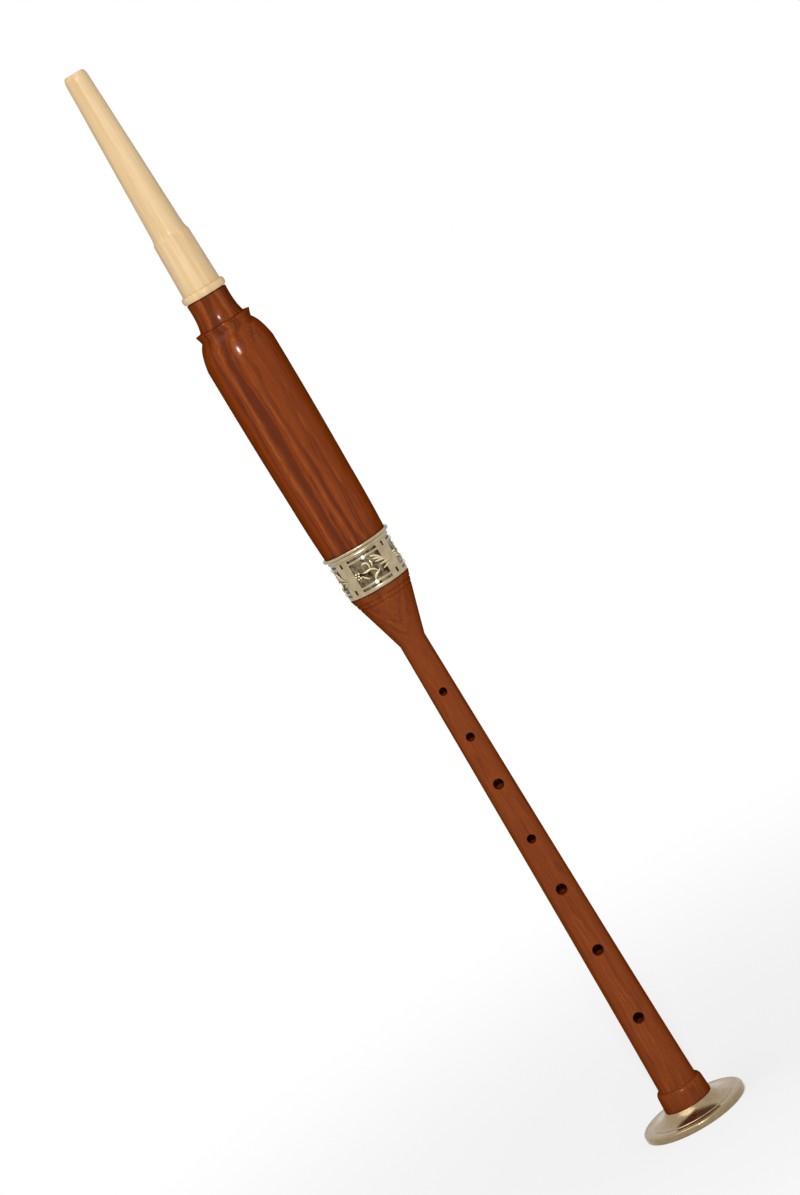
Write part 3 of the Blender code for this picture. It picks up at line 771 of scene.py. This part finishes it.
def show(name, shape, material, body, slot, *stands_for):
    """Make a shape a piece, with its finish, the body it rides on and the nodes it replaces."""
    open_edges = sum(not edge.is_manifold for edge in shape.edges)
    piece = as_object(name, shape)
    piece.data.materials.append(material)
    piece.data.shade_smooth()
    piece.data.set_sharp_from_angle(angle=SHARP)
    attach(piece, body)
    if stands_for:
        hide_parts(*stands_for)
    print(f"{name}: {len(piece.data.polygons)} faces, {open_edges} open edges")


print("edges over", round(math.degrees(SHARP)), "degrees stay sharp")

# %% [markdown]
# ## The mouthpiece
# A plain tube is easy to hold in the teeth. The real one is cast and turned: a bead ring where it
# meets the wood, a thicker length that holds the tenon, a small cove, then a long straight taper. Rings
# and cones stacked up would show seams, so one outline with a few round stretches is spun.

# %% Mouthpiece
AIR_BORE = 2.75 * MM
MOUTH_FOOT = 8.5 * MM
MOUTH_SOCKET = 6.0 * MM
MOUTH_SOCKET_DEPTH = 22.7 * MM
MOUTH_RING = 3.4 * MM
MOUTH_GRIP_LENGTH = 26.7 * MM
MOUTH_GRIP_TAPER = 0.5 * MM
MOUTH_COVE = 3.5 * MM
MOUTH_STEM = 7.15 * MM
MOUTH_TIP = 5.05 * MM
MOUTH_TIP_ROUND = 4.0 * MM
MOUTH_TIP_LAND = 0.7 * MM

low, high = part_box("mouthpiece")
ring_top = low.z + MOUTH_RING
socket_end = low.z + MOUTH_SOCKET_DEPTH
grip_top = (MOUTH_FOOT - MOUTH_GRIP_TAPER, low.z + MOUTH_GRIP_LENGTH)
cove_top = (MOUTH_STEM, grip_top[1] + MOUTH_COVE)
outline = trace(
    (AIR_BORE, high.z),
    (AIR_BORE + MOUTH_TIP_LAND, high.z),
    Bend((MOUTH_TIP, high.z), (MOUTH_TIP, high.z - MOUTH_TIP_ROUND)),
    cove_top,
    Bend(between(cove_top, grip_top, 0.15, 0.7), grip_top, 8),
    (MOUTH_FOOT, ring_top),
    Bend((high.x, ring_top), (high.x, low.z + MOUTH_RING / 2), 8),
    Bend((high.x, low.z), (MOUTH_FOOT, low.z), 8),
    (MOUTH_SOCKET, low.z),
    (MOUTH_SOCKET, socket_end),
    (AIR_BORE, socket_end),
)
tube = turned(eased(outline, 0.25 * MM))
show("mouthpiece_tube", tube, ivory_plastic, "mouthpiece", "ivory_plastic", "mouthpiece")

# %% [markdown]
# ## The barrel
# The long body hides the reed's chamber. Its neck is a cove that widens to a thin, sharp flange, and
# under the flange a round shoulder swells to the body, which narrows a little towards the ferrule.
# The body meets the ferrule without a gap here, because the two never part. Curves like these could
# be sculpted, but a spun outline keeps them true to the axis.

# %% A tenon with its groove
TENON_MARGIN = 3.0 * MM
GROOVE = 0.9 * MM


def lapped_tenon(radius, shoulder, top):
    """A tenon's outside from its top down to its shoulder, with a groove for the lapping."""
    groove_top, groove_foot = top - TENON_MARGIN, shoulder + TENON_MARGIN
    return [
        (radius, top),
        (radius, groove_top),
        (radius - GROOVE, groove_top),
        (radius - GROOVE, groove_foot),
        (radius, groove_foot),
        (radius, shoulder),
    ]


print("the groove is", GROOVE / MM, "mm deep")

# %% Barrel
FERRULE_SEAT = 12.3 * MM
FERRULE_LENGTH = 19.65 * MM
BODY_LENGTH = 89.05 * MM
BODY_FOOT_RADIUS = 13.85 * MM
WAIST_HEIGHT, WAIST_IN = 27.8 * MM, 0.55 * MM
BODY_SWELL = 0.15 * MM
SHOULDER_LENGTH = 11.0 * MM
FLANGE, FLANGE_LENGTH, FLANGE_EDGE = 12.3 * MM, 3.4 * MM, 0.4 * MM
FLANGE_UNDERCUT = 0.9 * MM
NECK_LENGTH, NECK_FOOT = 12.6 * MM, 9.9 * MM
BARREL_TENON = 5.5 * MM
SOCKET, SOCKET_DEPTH = 9.8 * MM, 26.0 * MM
CHAMBER, CHAMBER_TOP, CHAMBER_END = 9.0 * MM, 94.5 * MM, 100.5 * MM

low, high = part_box("barrel")
body_foot = (BODY_FOOT_RADIUS, low.z + FERRULE_LENGTH)
body_top = (high.x, body_foot[1] + BODY_LENGTH)
waist = (high.x - WAIST_IN, body_foot[1] + WAIST_HEIGHT)
flange_foot = (FLANGE - FLANGE_UNDERCUT, body_top[1] + SHOULDER_LENGTH)
flange_top = (FLANGE, flange_foot[1] + FLANGE_LENGTH)
neck_foot = (NECK_FOOT, flange_top[1] + FLANGE_EDGE)
neck_top = (MOUTH_FOOT + 0.4 * MM, flange_top[1] + NECK_LENGTH)
outline = trace(
    (AIR_BORE, high.z),
    *lapped_tenon(BARREL_TENON, neck_top[1], high.z),
    neck_top,
    Bend(between(neck_foot, neck_top, 1.5, 0.35), neck_foot, 16),
    flange_top,
    (FLANGE, flange_top[1] - FLANGE_EDGE),
    Bend(between(flange_top, flange_foot, 0.8, 0.55), flange_foot, 8),
    Bend(between(flange_foot, body_top, 0.7, 0.27), body_top, 20),
    Bend((high.x + BODY_SWELL, (waist[1] + body_top[1]) / 2), waist, 16),
    Bend(between(waist, body_foot, 0.1, 0.55), body_foot, 8),
    (FERRULE_SEAT, body_foot[1]),
    (FERRULE_SEAT, low.z),
    (SOCKET, low.z),
    (SOCKET, low.z + SOCKET_DEPTH),
    (CHAMBER, low.z + SOCKET_DEPTH),
    (CHAMBER, low.z + CHAMBER_TOP),
    (AIR_BORE, low.z + CHAMBER_END),
)
show("barrel_wood", turned(eased(outline, 0.2 * MM)), barrel_wood, "barrel", "barrel_rosewood", "barrel")

# %% [markdown]
# ## The chanter
# The lower section is one long piece of wood. Its blank is turned solid, then the holes and the bore
# are drilled, as at the bench. Each drill flares a little at its mouth, which breaks the sharp rim.
# Holes could be built into the mesh, but drills leave the long curve of the stem alone.

# %% A cut line on a turned outline
SCORE_WIDTH, SCORE_DEPTH = 0.8 * MM, 0.35 * MM


def radius_at(outline, height):
    """Radius of an outline that falls from point to point, at a height."""
    for (r_above, above), (r_below, below) in zip(outline, outline[1:]):
        if below <= height <= above:
            return r_below + (r_above - r_below) * (height - below) / (above - below)
    return outline[-1][0]


def scored(outline, height):
    """Cut a round-bottomed line round a falling outline."""
    top, bottom = height + SCORE_WIDTH / 2, height - SCORE_WIDTH / 2
    deep = (radius_at(outline, height) - 2 * SCORE_DEPTH, height)
    return trace(
        *(point for point in outline if point[1] > top),
        (radius_at(outline, top), top),
        Bend(deep, (radius_at(outline, bottom), bottom), 6),
        *(point for point in outline if point[1] < bottom),
    )


print("a cut line is", SCORE_WIDTH / MM, "mm wide")

# %% The chanter's blank
SPIGOT, SPIGOT_LENGTH = 6.0 * MM, 6.55 * MM
BEAD_LENGTH, BEAD_ROUND = 8.55 * MM, 3.0 * MM
BEAD_TOP_RADIUS, BEAD_FOOT_RADIUS = 10.4 * MM, 10.7 * MM
STEM_LENGTH = 215.0 * MM
STEM_FOOT_RADIUS, STEM_WAIST_RADIUS, STEM_TOP_RADIUS = 8.6 * MM, 7.25 * MM, 5.7 * MM
FLARE_LENGTH, FLARE_RADIUS = 26.4 * MM, 13.45 * MM
CHANTER_TENON = 9.3 * MM
SCORES = (2.9 * MM, 5.0 * MM)

low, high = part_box("chanter")
bead_foot = low.z + SPIGOT_LENGTH
stem_foot = (STEM_FOOT_RADIUS, bead_foot + BEAD_LENGTH)
stem_top = (STEM_TOP_RADIUS, stem_foot[1] + STEM_LENGTH)
stem_waist = (STEM_WAIST_RADIUS, stem_foot[1] + 0.25 * STEM_LENGTH)
shoulder = (FLARE_RADIUS, stem_top[1] + FLARE_LENGTH)
flare = trace(shoulder, Bend(between(stem_top, shoulder, 0.69, 0.72), stem_top, 28))
for drop in SCORES:
    flare = scored(flare, shoulder[1] - drop)
stem = trace(stem_top, Bend(stem_waist, stem_foot, 40))
axis_top, axis_foot = (0.0, high.z), (0.0, low.z)
outline = trace(
    axis_top,
    *lapped_tenon(CHANTER_TENON, shoulder[1], high.z),
    *flare,
    *stem[1:],
    Bend((BEAD_TOP_RADIUS, stem_foot[1]), (BEAD_TOP_RADIUS, stem_foot[1] - BEAD_ROUND), 8),
    (BEAD_FOOT_RADIUS, bead_foot),
    (SPIGOT, bead_foot),
    (SPIGOT, low.z),
    axis_foot,
)
blank = turned([axis_top, *eased(outline, 0.2 * MM)[1:-1], axis_foot])
print("the blank has", len(blank.faces), "faces")

# %% Drills
HOLE_FLARE = 0.45 * MM
HOLE_FLARE_DEPTH = 0.9 * MM
HOLE_FLARE_RISE = 0.1 * MM


def drill(share, width, side):
    """A drill laid across the stem, a share of the way up it, from the bore out to a flared mouth."""
    height = stem_foot[1] + share * STEM_LENGTH
    radius, surface = width * MM / 2, radius_at(stem, height)
    mouth = radius + HOLE_FLARE
    outline = trace(
        (0.0, 2 * surface),
        (mouth, 2 * surface),
        (mouth, surface + HOLE_FLARE_RISE),
        Bend((radius, surface - HOLE_FLARE_RISE), (radius, surface - HOLE_FLARE_DEPTH), 6),
        (radius, 0.0),
        (0.0, 0.0),
    )
    shape = turned(outline, 36)
    lay = Matrix.Translation((0.0, 0.0, height)) @ Matrix.Rotation(-side * math.pi / 2, 4, "X")
    bmesh.ops.transform(shape, matrix=lay, verts=shape.verts)
    return shape


def cut(shape, tools):
    """Take the tools' shapes out of a blank with Boolean modifiers."""
    held = as_object("blank", shape)
    cutters = [as_object("tool", tool) for tool in tools]
    for cutter in cutters:
        boolean = held.modifiers.new("Drill", "BOOLEAN")
        boolean.operation = "DIFFERENCE"
        boolean.object = cutter
    bpy.context.view_layer.update()
    finished = held.evaluated_get(bpy.context.evaluated_depsgraph_get())
    result = bmesh.new()
    result.from_mesh(bpy.data.meshes.new_from_object(finished))
    for used in (held, *cutters):
        bpy.data.objects.remove(used, do_unlink=True)
    return result


print("each hole flares by", HOLE_FLARE / MM, "mm at its mouth")

# %% Chanter
FRONT, BACK = -1, 1
# Each hole's share of the way up the stem, and its width in mm
FINGER_HOLES = {0.157: 4.7, 0.311: 4.7, 0.448: 4.7, 0.561: 3.7, 0.684: 4.4, 0.789: 3.6, 0.890: 3.3}
THUMB_HOLE = (0.948, 4.0)
CHANTER_BORE = 2.6 * MM
REED_SEAT, REED_SEAT_DEPTH, REED_SEAT_EDGE = 3.6 * MM, 12.0 * MM, 0.3 * MM
PAST_THE_END = 5.0 * MM

outline = [
    (0.0, high.z + PAST_THE_END),
    (REED_SEAT + REED_SEAT_EDGE, high.z + PAST_THE_END),
    (REED_SEAT + REED_SEAT_EDGE, high.z),
    (REED_SEAT, high.z - REED_SEAT_EDGE),
    (REED_SEAT, high.z - REED_SEAT_DEPTH),
    (CHANTER_BORE, high.z - REED_SEAT_DEPTH),
    (CHANTER_BORE, low.z - PAST_THE_END),
    (0.0, low.z - PAST_THE_END),
]
finger_drills = [drill(share, width, FRONT) for share, width in FINGER_HOLES.items()]
chanter = cut(blank, [turned(outline, 48), *finger_drills, drill(*THUMB_HOLE, BACK)])
show("chanter_wood", chanter, chanter_wood, "chanter", "chanter_rosewood", "chanter")

# %% [markdown]
# ## The sole
# The metal foot is a disc turned in one piece: a flat rim with one cut line and a rounded edge, a fine
# step, and a dished face that climbs to the wood. Rings laid on a plain disc would meet it in hard
# seams, so the whole disc is one spun outline.

# %% Sole
SOLE_BORE = 6.3 * MM
SOLE_LAND = 11.2 * MM
RIM_HEIGHT, RIM_WIDTH, RIM_STEP = 3.1 * MM, 4.6 * MM, 0.35 * MM
RIM_LINE_IN, RIM_LINE_OUT, RIM_LINE_DEPTH = 1.9 * MM, 1.4 * MM, 0.3 * MM
RIM_ROUND, RIM_FOOT_ROUND = 1.1 * MM, 0.6 * MM

low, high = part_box("sole")
rim_top = low.z + RIM_HEIGHT
land = (SOLE_LAND, high.z)
step_in = (high.x - RIM_WIDTH, rim_top + RIM_STEP)
line_middle = high.x - (RIM_LINE_IN + RIM_LINE_OUT) / 2
outline = trace(
    (SOLE_BORE, high.z),
    land,
    Bend(between(land, step_in, 0.3, 0.85), step_in, 20),
    (step_in[0] + RIM_STEP, rim_top),
    (high.x - RIM_LINE_IN, rim_top),
    Bend((line_middle, rim_top - RIM_LINE_DEPTH), (high.x - RIM_LINE_OUT, rim_top), 6),
    Bend((high.x, rim_top), (high.x, rim_top - RIM_ROUND), 8),
    (high.x, low.z + RIM_FOOT_ROUND),
    Bend((high.x, low.z), (high.x - RIM_FOOT_ROUND, low.z), 6),
    (SOLE_BORE, low.z),
)
show("sole_disc", turned(eased(outline, 0.12 * MM), 144), sole_metal, "chanter", "sole_silver", "sole")

# %% [markdown]
# ## The ferrule
# The band starts as a turned ring. Its panels and slots are faces of that ring, pushed in towards the
# axis, so they follow the curve. Boxes could cut them as well, but with flat floors. Thin ledges stay
# between the slots, as on a pierced band.

# %% The ferrule's ring
BAND_BORE = 12.6 * MM
BAND_SEGMENTS = 144
LIP_HEIGHT, LIP_ROUND, LIP_STAND = 1.4 * MM, 0.7 * MM, 0.8 * MM
COVE_HEIGHT = 1.6 * MM
BEAD_LINE = (0.3 * MM, 0.45 * MM)
# Heights of the ledges over the ring's foot, in mm
LEDGES = (1.7, 2.7, 3.7, 4.9, 12.9, 14.0, 15.0, 16.0)

low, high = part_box("ferrule")
lip = high.z - LIP_HEIGHT
cove_foot = (BAND, lip - COVE_HEIGHT)
lip_root = (BAND + LIP_STAND, lip)
bead_line = (BAND + BEAD_LINE[0], cove_foot[1] + BEAD_LINE[1])
outline = trace(
    (BAND_BORE, high.z),
    (high.x - LIP_ROUND, high.z),
    Bend((high.x, high.z), (high.x, lip + LIP_ROUND), 6),
    Bend((high.x, lip), lip_root, 6),
    Bend(between(cove_foot, lip_root, 0.1, 0.9), bead_line, 6),
    Bend((BAND + 0.55 * MM, cove_foot[1] + 0.15 * MM), (BAND, cove_foot[1] - 0.05 * MM), 5),
    *((BAND, low.z + ledge * MM) for ledge in reversed(LEDGES)),
    (BAND, low.z + 0.35 * MM),
    (BAND - 0.25 * MM, low.z),
    (BAND_BORE, low.z),
)
band = turned(outline, BAND_SEGMENTS)
print("the ring has", len(band.faces), "faces")

# %% Panels and slots
QUARTER = 90.0
PANEL, POST = (0.0, 30.0), (QUARTER / 2, 2.5)
FIELD_DEPTH = 0.42 * MM
# A part's middle and half width in degrees from a panel's middle, its rows of ledges, and its depth
SUNKEN = (
    (PANEL, [(LEDGES[2], LEDGES[5])], FIELD_DEPTH),
    (PANEL, [LEDGES[2:4], LEDGES[4:6]], 0.2 * MM),
    (PANEL, [LEDGES[0:2], LEDGES[6:8]], 0.62 * MM),
    (POST, [(LEDGES[0], LEDGES[2]), (LEDGES[5], LEDGES[7])], 0.6 * MM),
)


def off_panel(centre):
    """Degrees from the middle of the nearest panel, the first of which faces -Y."""
    angle = math.degrees(math.atan2(centre.x, -centre.y))
    return abs((angle + QUARTER / 2) % QUARTER - QUARTER / 2)


def sink(shape, part, rows, depth):
    """Push in the outward faces of a part, given as its middle and half width in degrees, between ledges."""
    middle, half = part
    faces = []
    for face in shape.faces:
        centre = face.calc_center_median()
        rise = (centre.z - low.z) / MM
        outward = face.normal.xy.dot(centre.xy.normalized()) > 0.9
        near = abs(off_panel(centre) - middle) < half
        if outward and near and any(foot < rise < top for foot, top in rows):
            faces.append(face)
    made = bmesh.ops.extrude_face_region(shape, geom=faces)["geom"]
    bmesh.ops.delete(shape, geom=faces, context="FACES")
    for vert in (item for item in made if isinstance(item, bmesh.types.BMVert)):
        vert.co.xy = vert.co.xy.normalized() * (vert.co.xy.length - depth)
    shape.normal_update()
    print("sunk faces:", len(faces))


print("floors to sink:", len(SUNKEN))

# %% Ferrule
BRIM = math.radians(60)


def steep(shape):
    """Edges where two faces meet at more than the angle of a brim."""
    return [edge for edge in shape.edges if edge.is_manifold and edge.calc_face_angle(0.0) > BRIM]


band.normal_update()
for part, rows, depth in SUNKEN:
    sink(band, part, rows, depth)
brims = [edge for edge in steep(band) if min(vert.co.xy.length for vert in edge.verts) > BAND - 0.05 * MM]
soft_edge = {"segments": 2, "profile": 0.5, "affect": "EDGES", "material": -1}
bmesh.ops.bevel(band, geom=brims, offset=0.07 * MM, clamp_overlap=True, **soft_edge)
bmesh.ops.recalc_face_normals(band, faces=band.faces)
show("ferrule_band", band, ferrule_metal, "barrel", "ferrule_silver", "ferrule")

# %% [markdown]
# ## The ferrule's relief
# A sprig lies in each panel: berries on one side, a spray of narrow leaves on the other, a curl
# between them, and a domed stud above and below. A bump would lie flat at the band's outline, so it is
# real: drawn flat in millimetres, built as tapering ribs and domes, then bent round the four sides.

# %% Domes
def capped(shape, sides):
    """Close the round ends of ribs or of a thread, and turn every face outwards."""
    bmesh.ops.holes_fill(shape, edges=[edge for edge in shape.edges if edge.is_boundary], sides=sides)
    bmesh.ops.recalc_face_normals(shape, faces=shape.faces)
    return shape


def edges_of(verts):
    return list({edge for vert in verts for edge in vert.link_edges})


def add_dome(shape, across, up, radius, stand):
    """Add a dome at a place in mm, which stands out by a share of its radius."""
    place = Matrix.Translation((across * MM, 0.0, up * MM)) @ Matrix.Diagonal((1.0, stand, 1.0, 1.0))
    bmesh.ops.create_icosphere(shape, subdivisions=3, radius=radius * MM, matrix=place)


print("helpers for drawings: capped, edges_of and add_dome")

# %% Ribs
RIB_SIDES = 10
RIB_STAND = 0.9
RIB_THINNEST = 0.12


def lengthened(shape, ring, edges):
    """Extrude a ring of edges. Returns the new ring in the same order, and its edges."""
    made = bmesh.ops.extrude_edge_only(shape, edges=edges)["geom"]
    fresh = {item for item in made if isinstance(item, bmesh.types.BMVert)}
    edges = [item for item in made if isinstance(item, bmesh.types.BMEdge) and set(item.verts) <= fresh]
    links = [(vert, edge.other_vert(vert)) for vert in ring for edge in vert.link_edges]
    partner = {vert: other for vert, other in links if other in fresh}
    return [partner[vert] for vert in ring], edges


def add_rib(shape, stops, widest, rise):
    """A rib along a curved line, thin at both ends and fullest a little before its middle."""
    line = [Vector((x, 0.0, z)) * MM for x, z in trace(*stops)]
    ring = bmesh.ops.create_circle(shape, segments=RIB_SIDES, radius=1.0)["verts"]
    edges = edges_of(ring)
    for index, point in enumerate(line):
        if index:
            ring, edges = lengthened(shape, ring, edges)
        ahead = line[min(index + 1, len(line) - 1)] - line[max(index - 1, 0)]
        aside = ahead.normalized().cross(Vector((0.0, 1.0, 0.0)))
        along = index / (len(line) - 1)
        fullness = math.sin(math.pi * min(along * 1.15 + 0.06, 1.0)) ** 0.7
        width = widest * MM * max(RIB_THINNEST, fullness)
        for number, vert in enumerate(ring):
            angle = math.tau * number / RIB_SIDES
            out = math.sin(angle) * width * RIB_STAND - rise * MM
            vert.co = point + aside * math.cos(angle) * width + Vector((0.0, out, 0.0))


print("a rib has", RIB_SIDES, "sides")

# %% Bending a drawing round the band
FIELD = BAND - FIELD_DEPTH
MIDDLE = low.z + 8.9 * MM
SIDES = 4


def wrapped(shape):
    """Bend a flat drawing round the band's field and repeat it on the four sides."""
    for vert in shape.verts:
        angle = vert.co.x / FIELD
        reach = FIELD - vert.co.y
        vert.co = Vector((math.sin(angle) * reach, -math.cos(angle) * reach, MIDDLE + vert.co.z))
    geom = shape.verts[:] + shape.edges[:] + shape.faces[:]
    copies = {"angle": math.tau * (SIDES - 1) / SIDES, "steps": SIDES - 1, "use_duplicate": True}
    bmesh.ops.spin(shape, geom=geom, cent=(0, 0, 0), axis=(0, 0, 1), **copies)
    return capped(shape, RIB_SIDES)


print("the drawing's middle is", round(MIDDLE / MM, 1), "mm up")

# %% Studs
STUD_RADIUS, STUD_STAND = 1.15, 0.85
STUD_HEIGHTS = (5.5, -5.9)

studs = bmesh.new()
for up in STUD_HEIGHTS:
    add_dome(studs, 0.0, up, STUD_RADIUS, STUD_STAND)
show("ferrule_studs", wrapped(studs), stud_metal, "barrel", "ferrule_silver")

# %% Sprig
BERRY_RADIUS, BERRY_STAND = 0.6, 1.2
BERRIES = ((-4.9, 0.5), (-6.1, 0.6), (-5.4, -0.5), (-6.6, -0.4), (-4.9, -1.5), (-6.0, -1.6))
LEAF_RISE = 0.55
LEAVES = (
    ((2.4, 4.7), (5.2, 3.6), (7.4, 0.6), 0.5),
    ((2.9, 3.0), (5.6, 2.3), (8.6, 0.2), 0.55),
    ((3.2, 1.5), (6.0, 1.2), (9.6, -0.2), 0.5),
    ((4.2, -0.4), (6.8, -0.5), (10.2, -0.9), 0.45),
    ((5.0, -2.6), (7.4, -2.0), (9.6, -1.5), 0.42),
)
STALK = ((0.1, -5.2), Bend((0.2, -3.4), (2.4, -2.6), 8), Bend((3.8, -2.0), (4.5, -0.4), 6))
BRANCH = ((2.8, -2.4), Bend((1.4, 0.4), (-1.2, -0.3), 8), Bend((-3.0, -0.7), (-4.6, 0.9), 8))
CURL = ((0.0, -0.4), Bend((1.0, 2.8), (-0.8, 3.2), 8), Bend((-2.6, 3.3), (-2.2, 1.6), 8))
BUD = ((1.2, 0.4), Bend((2.4, 2.2), (1.2, 3.6), 8))
LOW_LEAF = ((-4.3, -1.0), Bend((-2.8, -3.2), (-0.9, -3.6), 8))

sprig = bmesh.new()
for across, up in BERRIES:
    add_dome(sprig, across, up, BERRY_RADIUS, BERRY_STAND)
for start, corner, end, widest in LEAVES:
    add_rib(sprig, (start, Bend(corner, end, 10)), widest, LEAF_RISE)
for line, widest, rise in (
    (STALK, 0.6, 0.35),
    (BRANCH, 0.5, 0.2),
    (CURL, 0.48, 0.2),
    (BUD, 0.42, 0.2),
    (LOW_LEAF, 0.45, 0.1),
):
    add_rib(sprig, line, widest, rise)
show("ferrule_sprig", wrapped(sprig), relief_metal, "barrel", "ferrule_silver")

# %% [markdown]
# ## The lappings
# Waxed hemp is wound on each tenon until the joint grips. A coil of separate rings would do for a
# glance, but thread is one length, so a small circle is spun up a screw line, turn beside turn.

# %% Lappings of hemp
CORE_SHARE = 0.7
TURN_SHARE = 0.96
THREAD_SIDES = 8


def wound(low, high, inside, outside, thickness, steps):
    """A core sleeve with one thread wound over it from end to end, in steps for each turn."""
    core = outside - thickness * CORE_SHARE
    shape = turned([(inside, high), (core, high), (core, low), (inside, low)], 48)
    lay = Matrix.Translation((outside - thickness / 2, 0.0, low + thickness / 2))
    lay = lay @ Matrix.Rotation(math.pi / 2, 4, "X")
    circle = bmesh.ops.create_circle(shape, segments=THREAD_SIDES, radius=thickness / 2, matrix=lay)["verts"]
    turns = int((high - low - thickness) / (thickness * TURN_SHARE))
    pitch = (high - low - thickness) / turns
    screw = {"cent": (0, 0, 0), "axis": (0, 0, 1), "dvec": (0.0, 0.0, pitch / steps)}
    section = circle + edges_of(circle)
    bmesh.ops.spin(shape, geom=section, angle=math.tau * turns, steps=steps * turns, **screw)
    return capped(shape, THREAD_SIDES)


def lapping(name, node, body, slot, finish, inside, thickness, steps=30):
    """Wind a node's space full of thread."""
    low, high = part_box(node)
    show(name, wound(low.z, high.z, inside, high.x, thickness, steps), finish, body, slot, node)


lapping("tenon_lapping", "tenon_hemp", "tenon_hemp", "waxed_hemp", hemp, 8.7 * MM, 0.5 * MM)
lapping("mouthpiece_lapping", "mouthpiece_hemp", "mouthpiece_hemp", "waxed_hemp", hemp, 4.9 * MM, 0.45 * MM)
lapping("reed_lapping", "reed_hemp", "reed_hemp", "waxed_hemp", hemp, 2.6 * MM, 0.4 * MM, 20)
lapping("reed_tie", "reed_binding", "reed", "binding_thread", binding, 3.2 * MM, 0.34 * MM, 20)

# %% [markdown]
# ## The reed
# Two blades of cane are tied round a brass staple. At its foot each blade is half a tube, and it opens
# to a wide, nearly flat lip. A grid is bent into that form, then given one thickness, because sculpting
# would lose the even wall that a knife leaves.

# %% Staple
STAPLE_WALL = 0.5 * MM
STAPLE_TAPER = 0.4 * MM
STAPLE_SEAT = 12.0 * MM

low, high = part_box("reed_staple")
tip, seat_top = high.x - STAPLE_TAPER, low.z + STAPLE_SEAT
outline = [
    (tip - STAPLE_WALL, high.z),
    (tip, high.z),
    (high.x, seat_top),
    (high.x, low.z),
    (high.x - STAPLE_WALL, low.z),
    (high.x - STAPLE_WALL, seat_top),
]
show("reed_tube", turned(eased(outline, 0.1 * MM), 64), staple_brass, "reed", "staple_brass", "reed_staple")

# %% Blades
BLADE_GAP = 0.15 * MM
TIE_LENGTH = 8.5 * MM
BLADE_THICKNESS = 0.7 * MM
LIP_HALF_WIDTH = 4.4 * MM
LIP_BOW = 0.45 * MM
FOOT_HALF_WIDTH = 2.41 * MM


def blade_section(rise, length):
    """Half width and bow of a blade's inner face, at a height above its foot."""
    free = min(max((rise - TIE_LENGTH) / (length - TIE_LENGTH), 0.0), 1.0)
    opened = free * free * (3 - 2 * free)
    half_width = FOOT_HALF_WIDTH + (LIP_HALF_WIDTH - FOOT_HALF_WIDTH) * opened
    return half_width, FOOT_HALF_WIDTH + (LIP_BOW - FOOT_HALF_WIDTH) * opened


def show_blade(name, node, side):
    """Bend a grid to a blade's inner face, turn it to look outwards, and thicken it."""
    low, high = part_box(node)
    blade_length = high.z - low.z
    shape = bmesh.new()
    bmesh.ops.create_grid(shape, x_segments=28, y_segments=36, size=1.0)
    for vert in shape.verts:
        angle = vert.co.x * math.pi / 2
        rise = (vert.co.y + 1) / 2 * blade_length
        half_width, bow = blade_section(rise, blade_length)
        vert.co = (half_width * math.sin(angle), side * (BLADE_GAP + bow * math.cos(angle)), low.z + rise)
    bmesh.ops.recalc_face_normals(shape, faces=shape.faces)
    if (next(iter(shape.faces)).normal.y > 0) == (side > 0):
        bmesh.ops.reverse_faces(shape, faces=shape.faces)
    bmesh.ops.solidify(shape, geom=shape.faces[:], thickness=BLADE_THICKNESS)
    bmesh.ops.recalc_face_normals(shape, faces=shape.faces)
    show(name, shape, reed_cane, "reed", "reed_cane", node)


show_blade("blade_front", "reed_blade_front", FRONT)
show_blade("blade_back", "reed_blade_back", BACK)

# %% Bridle
BRIDLE_WALL = 0.5 * MM

low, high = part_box("reed_bridle")
strip = bmesh.new()
rims = []
for inset, height in ((0.0, low.z), (0.0, high.z), (BRIDLE_WALL, high.z), (BRIDLE_WALL, low.z)):
    oval = Matrix.Diagonal((high.x - inset, high.y - inset, 1.0, 1.0))
    place = Matrix.Translation((0.0, 0.0, height)) @ oval
    made = bmesh.ops.create_circle(strip, segments=64, radius=1.0, matrix=place)["verts"]
    rims.append(edges_of(made))
for first, second in zip(rims, rims[1:] + rims[:1]):
    bmesh.ops.bridge_loops(strip, edges=first + second)
bmesh.ops.bevel(strip, geom=steep(strip), offset=0.1 * MM, **soft_edge)
bmesh.ops.recalc_face_normals(strip, faces=strip.faces)
show("bridle_strip", strip, bridle_copper, "reed", "bridle_copper", "reed_bridle")
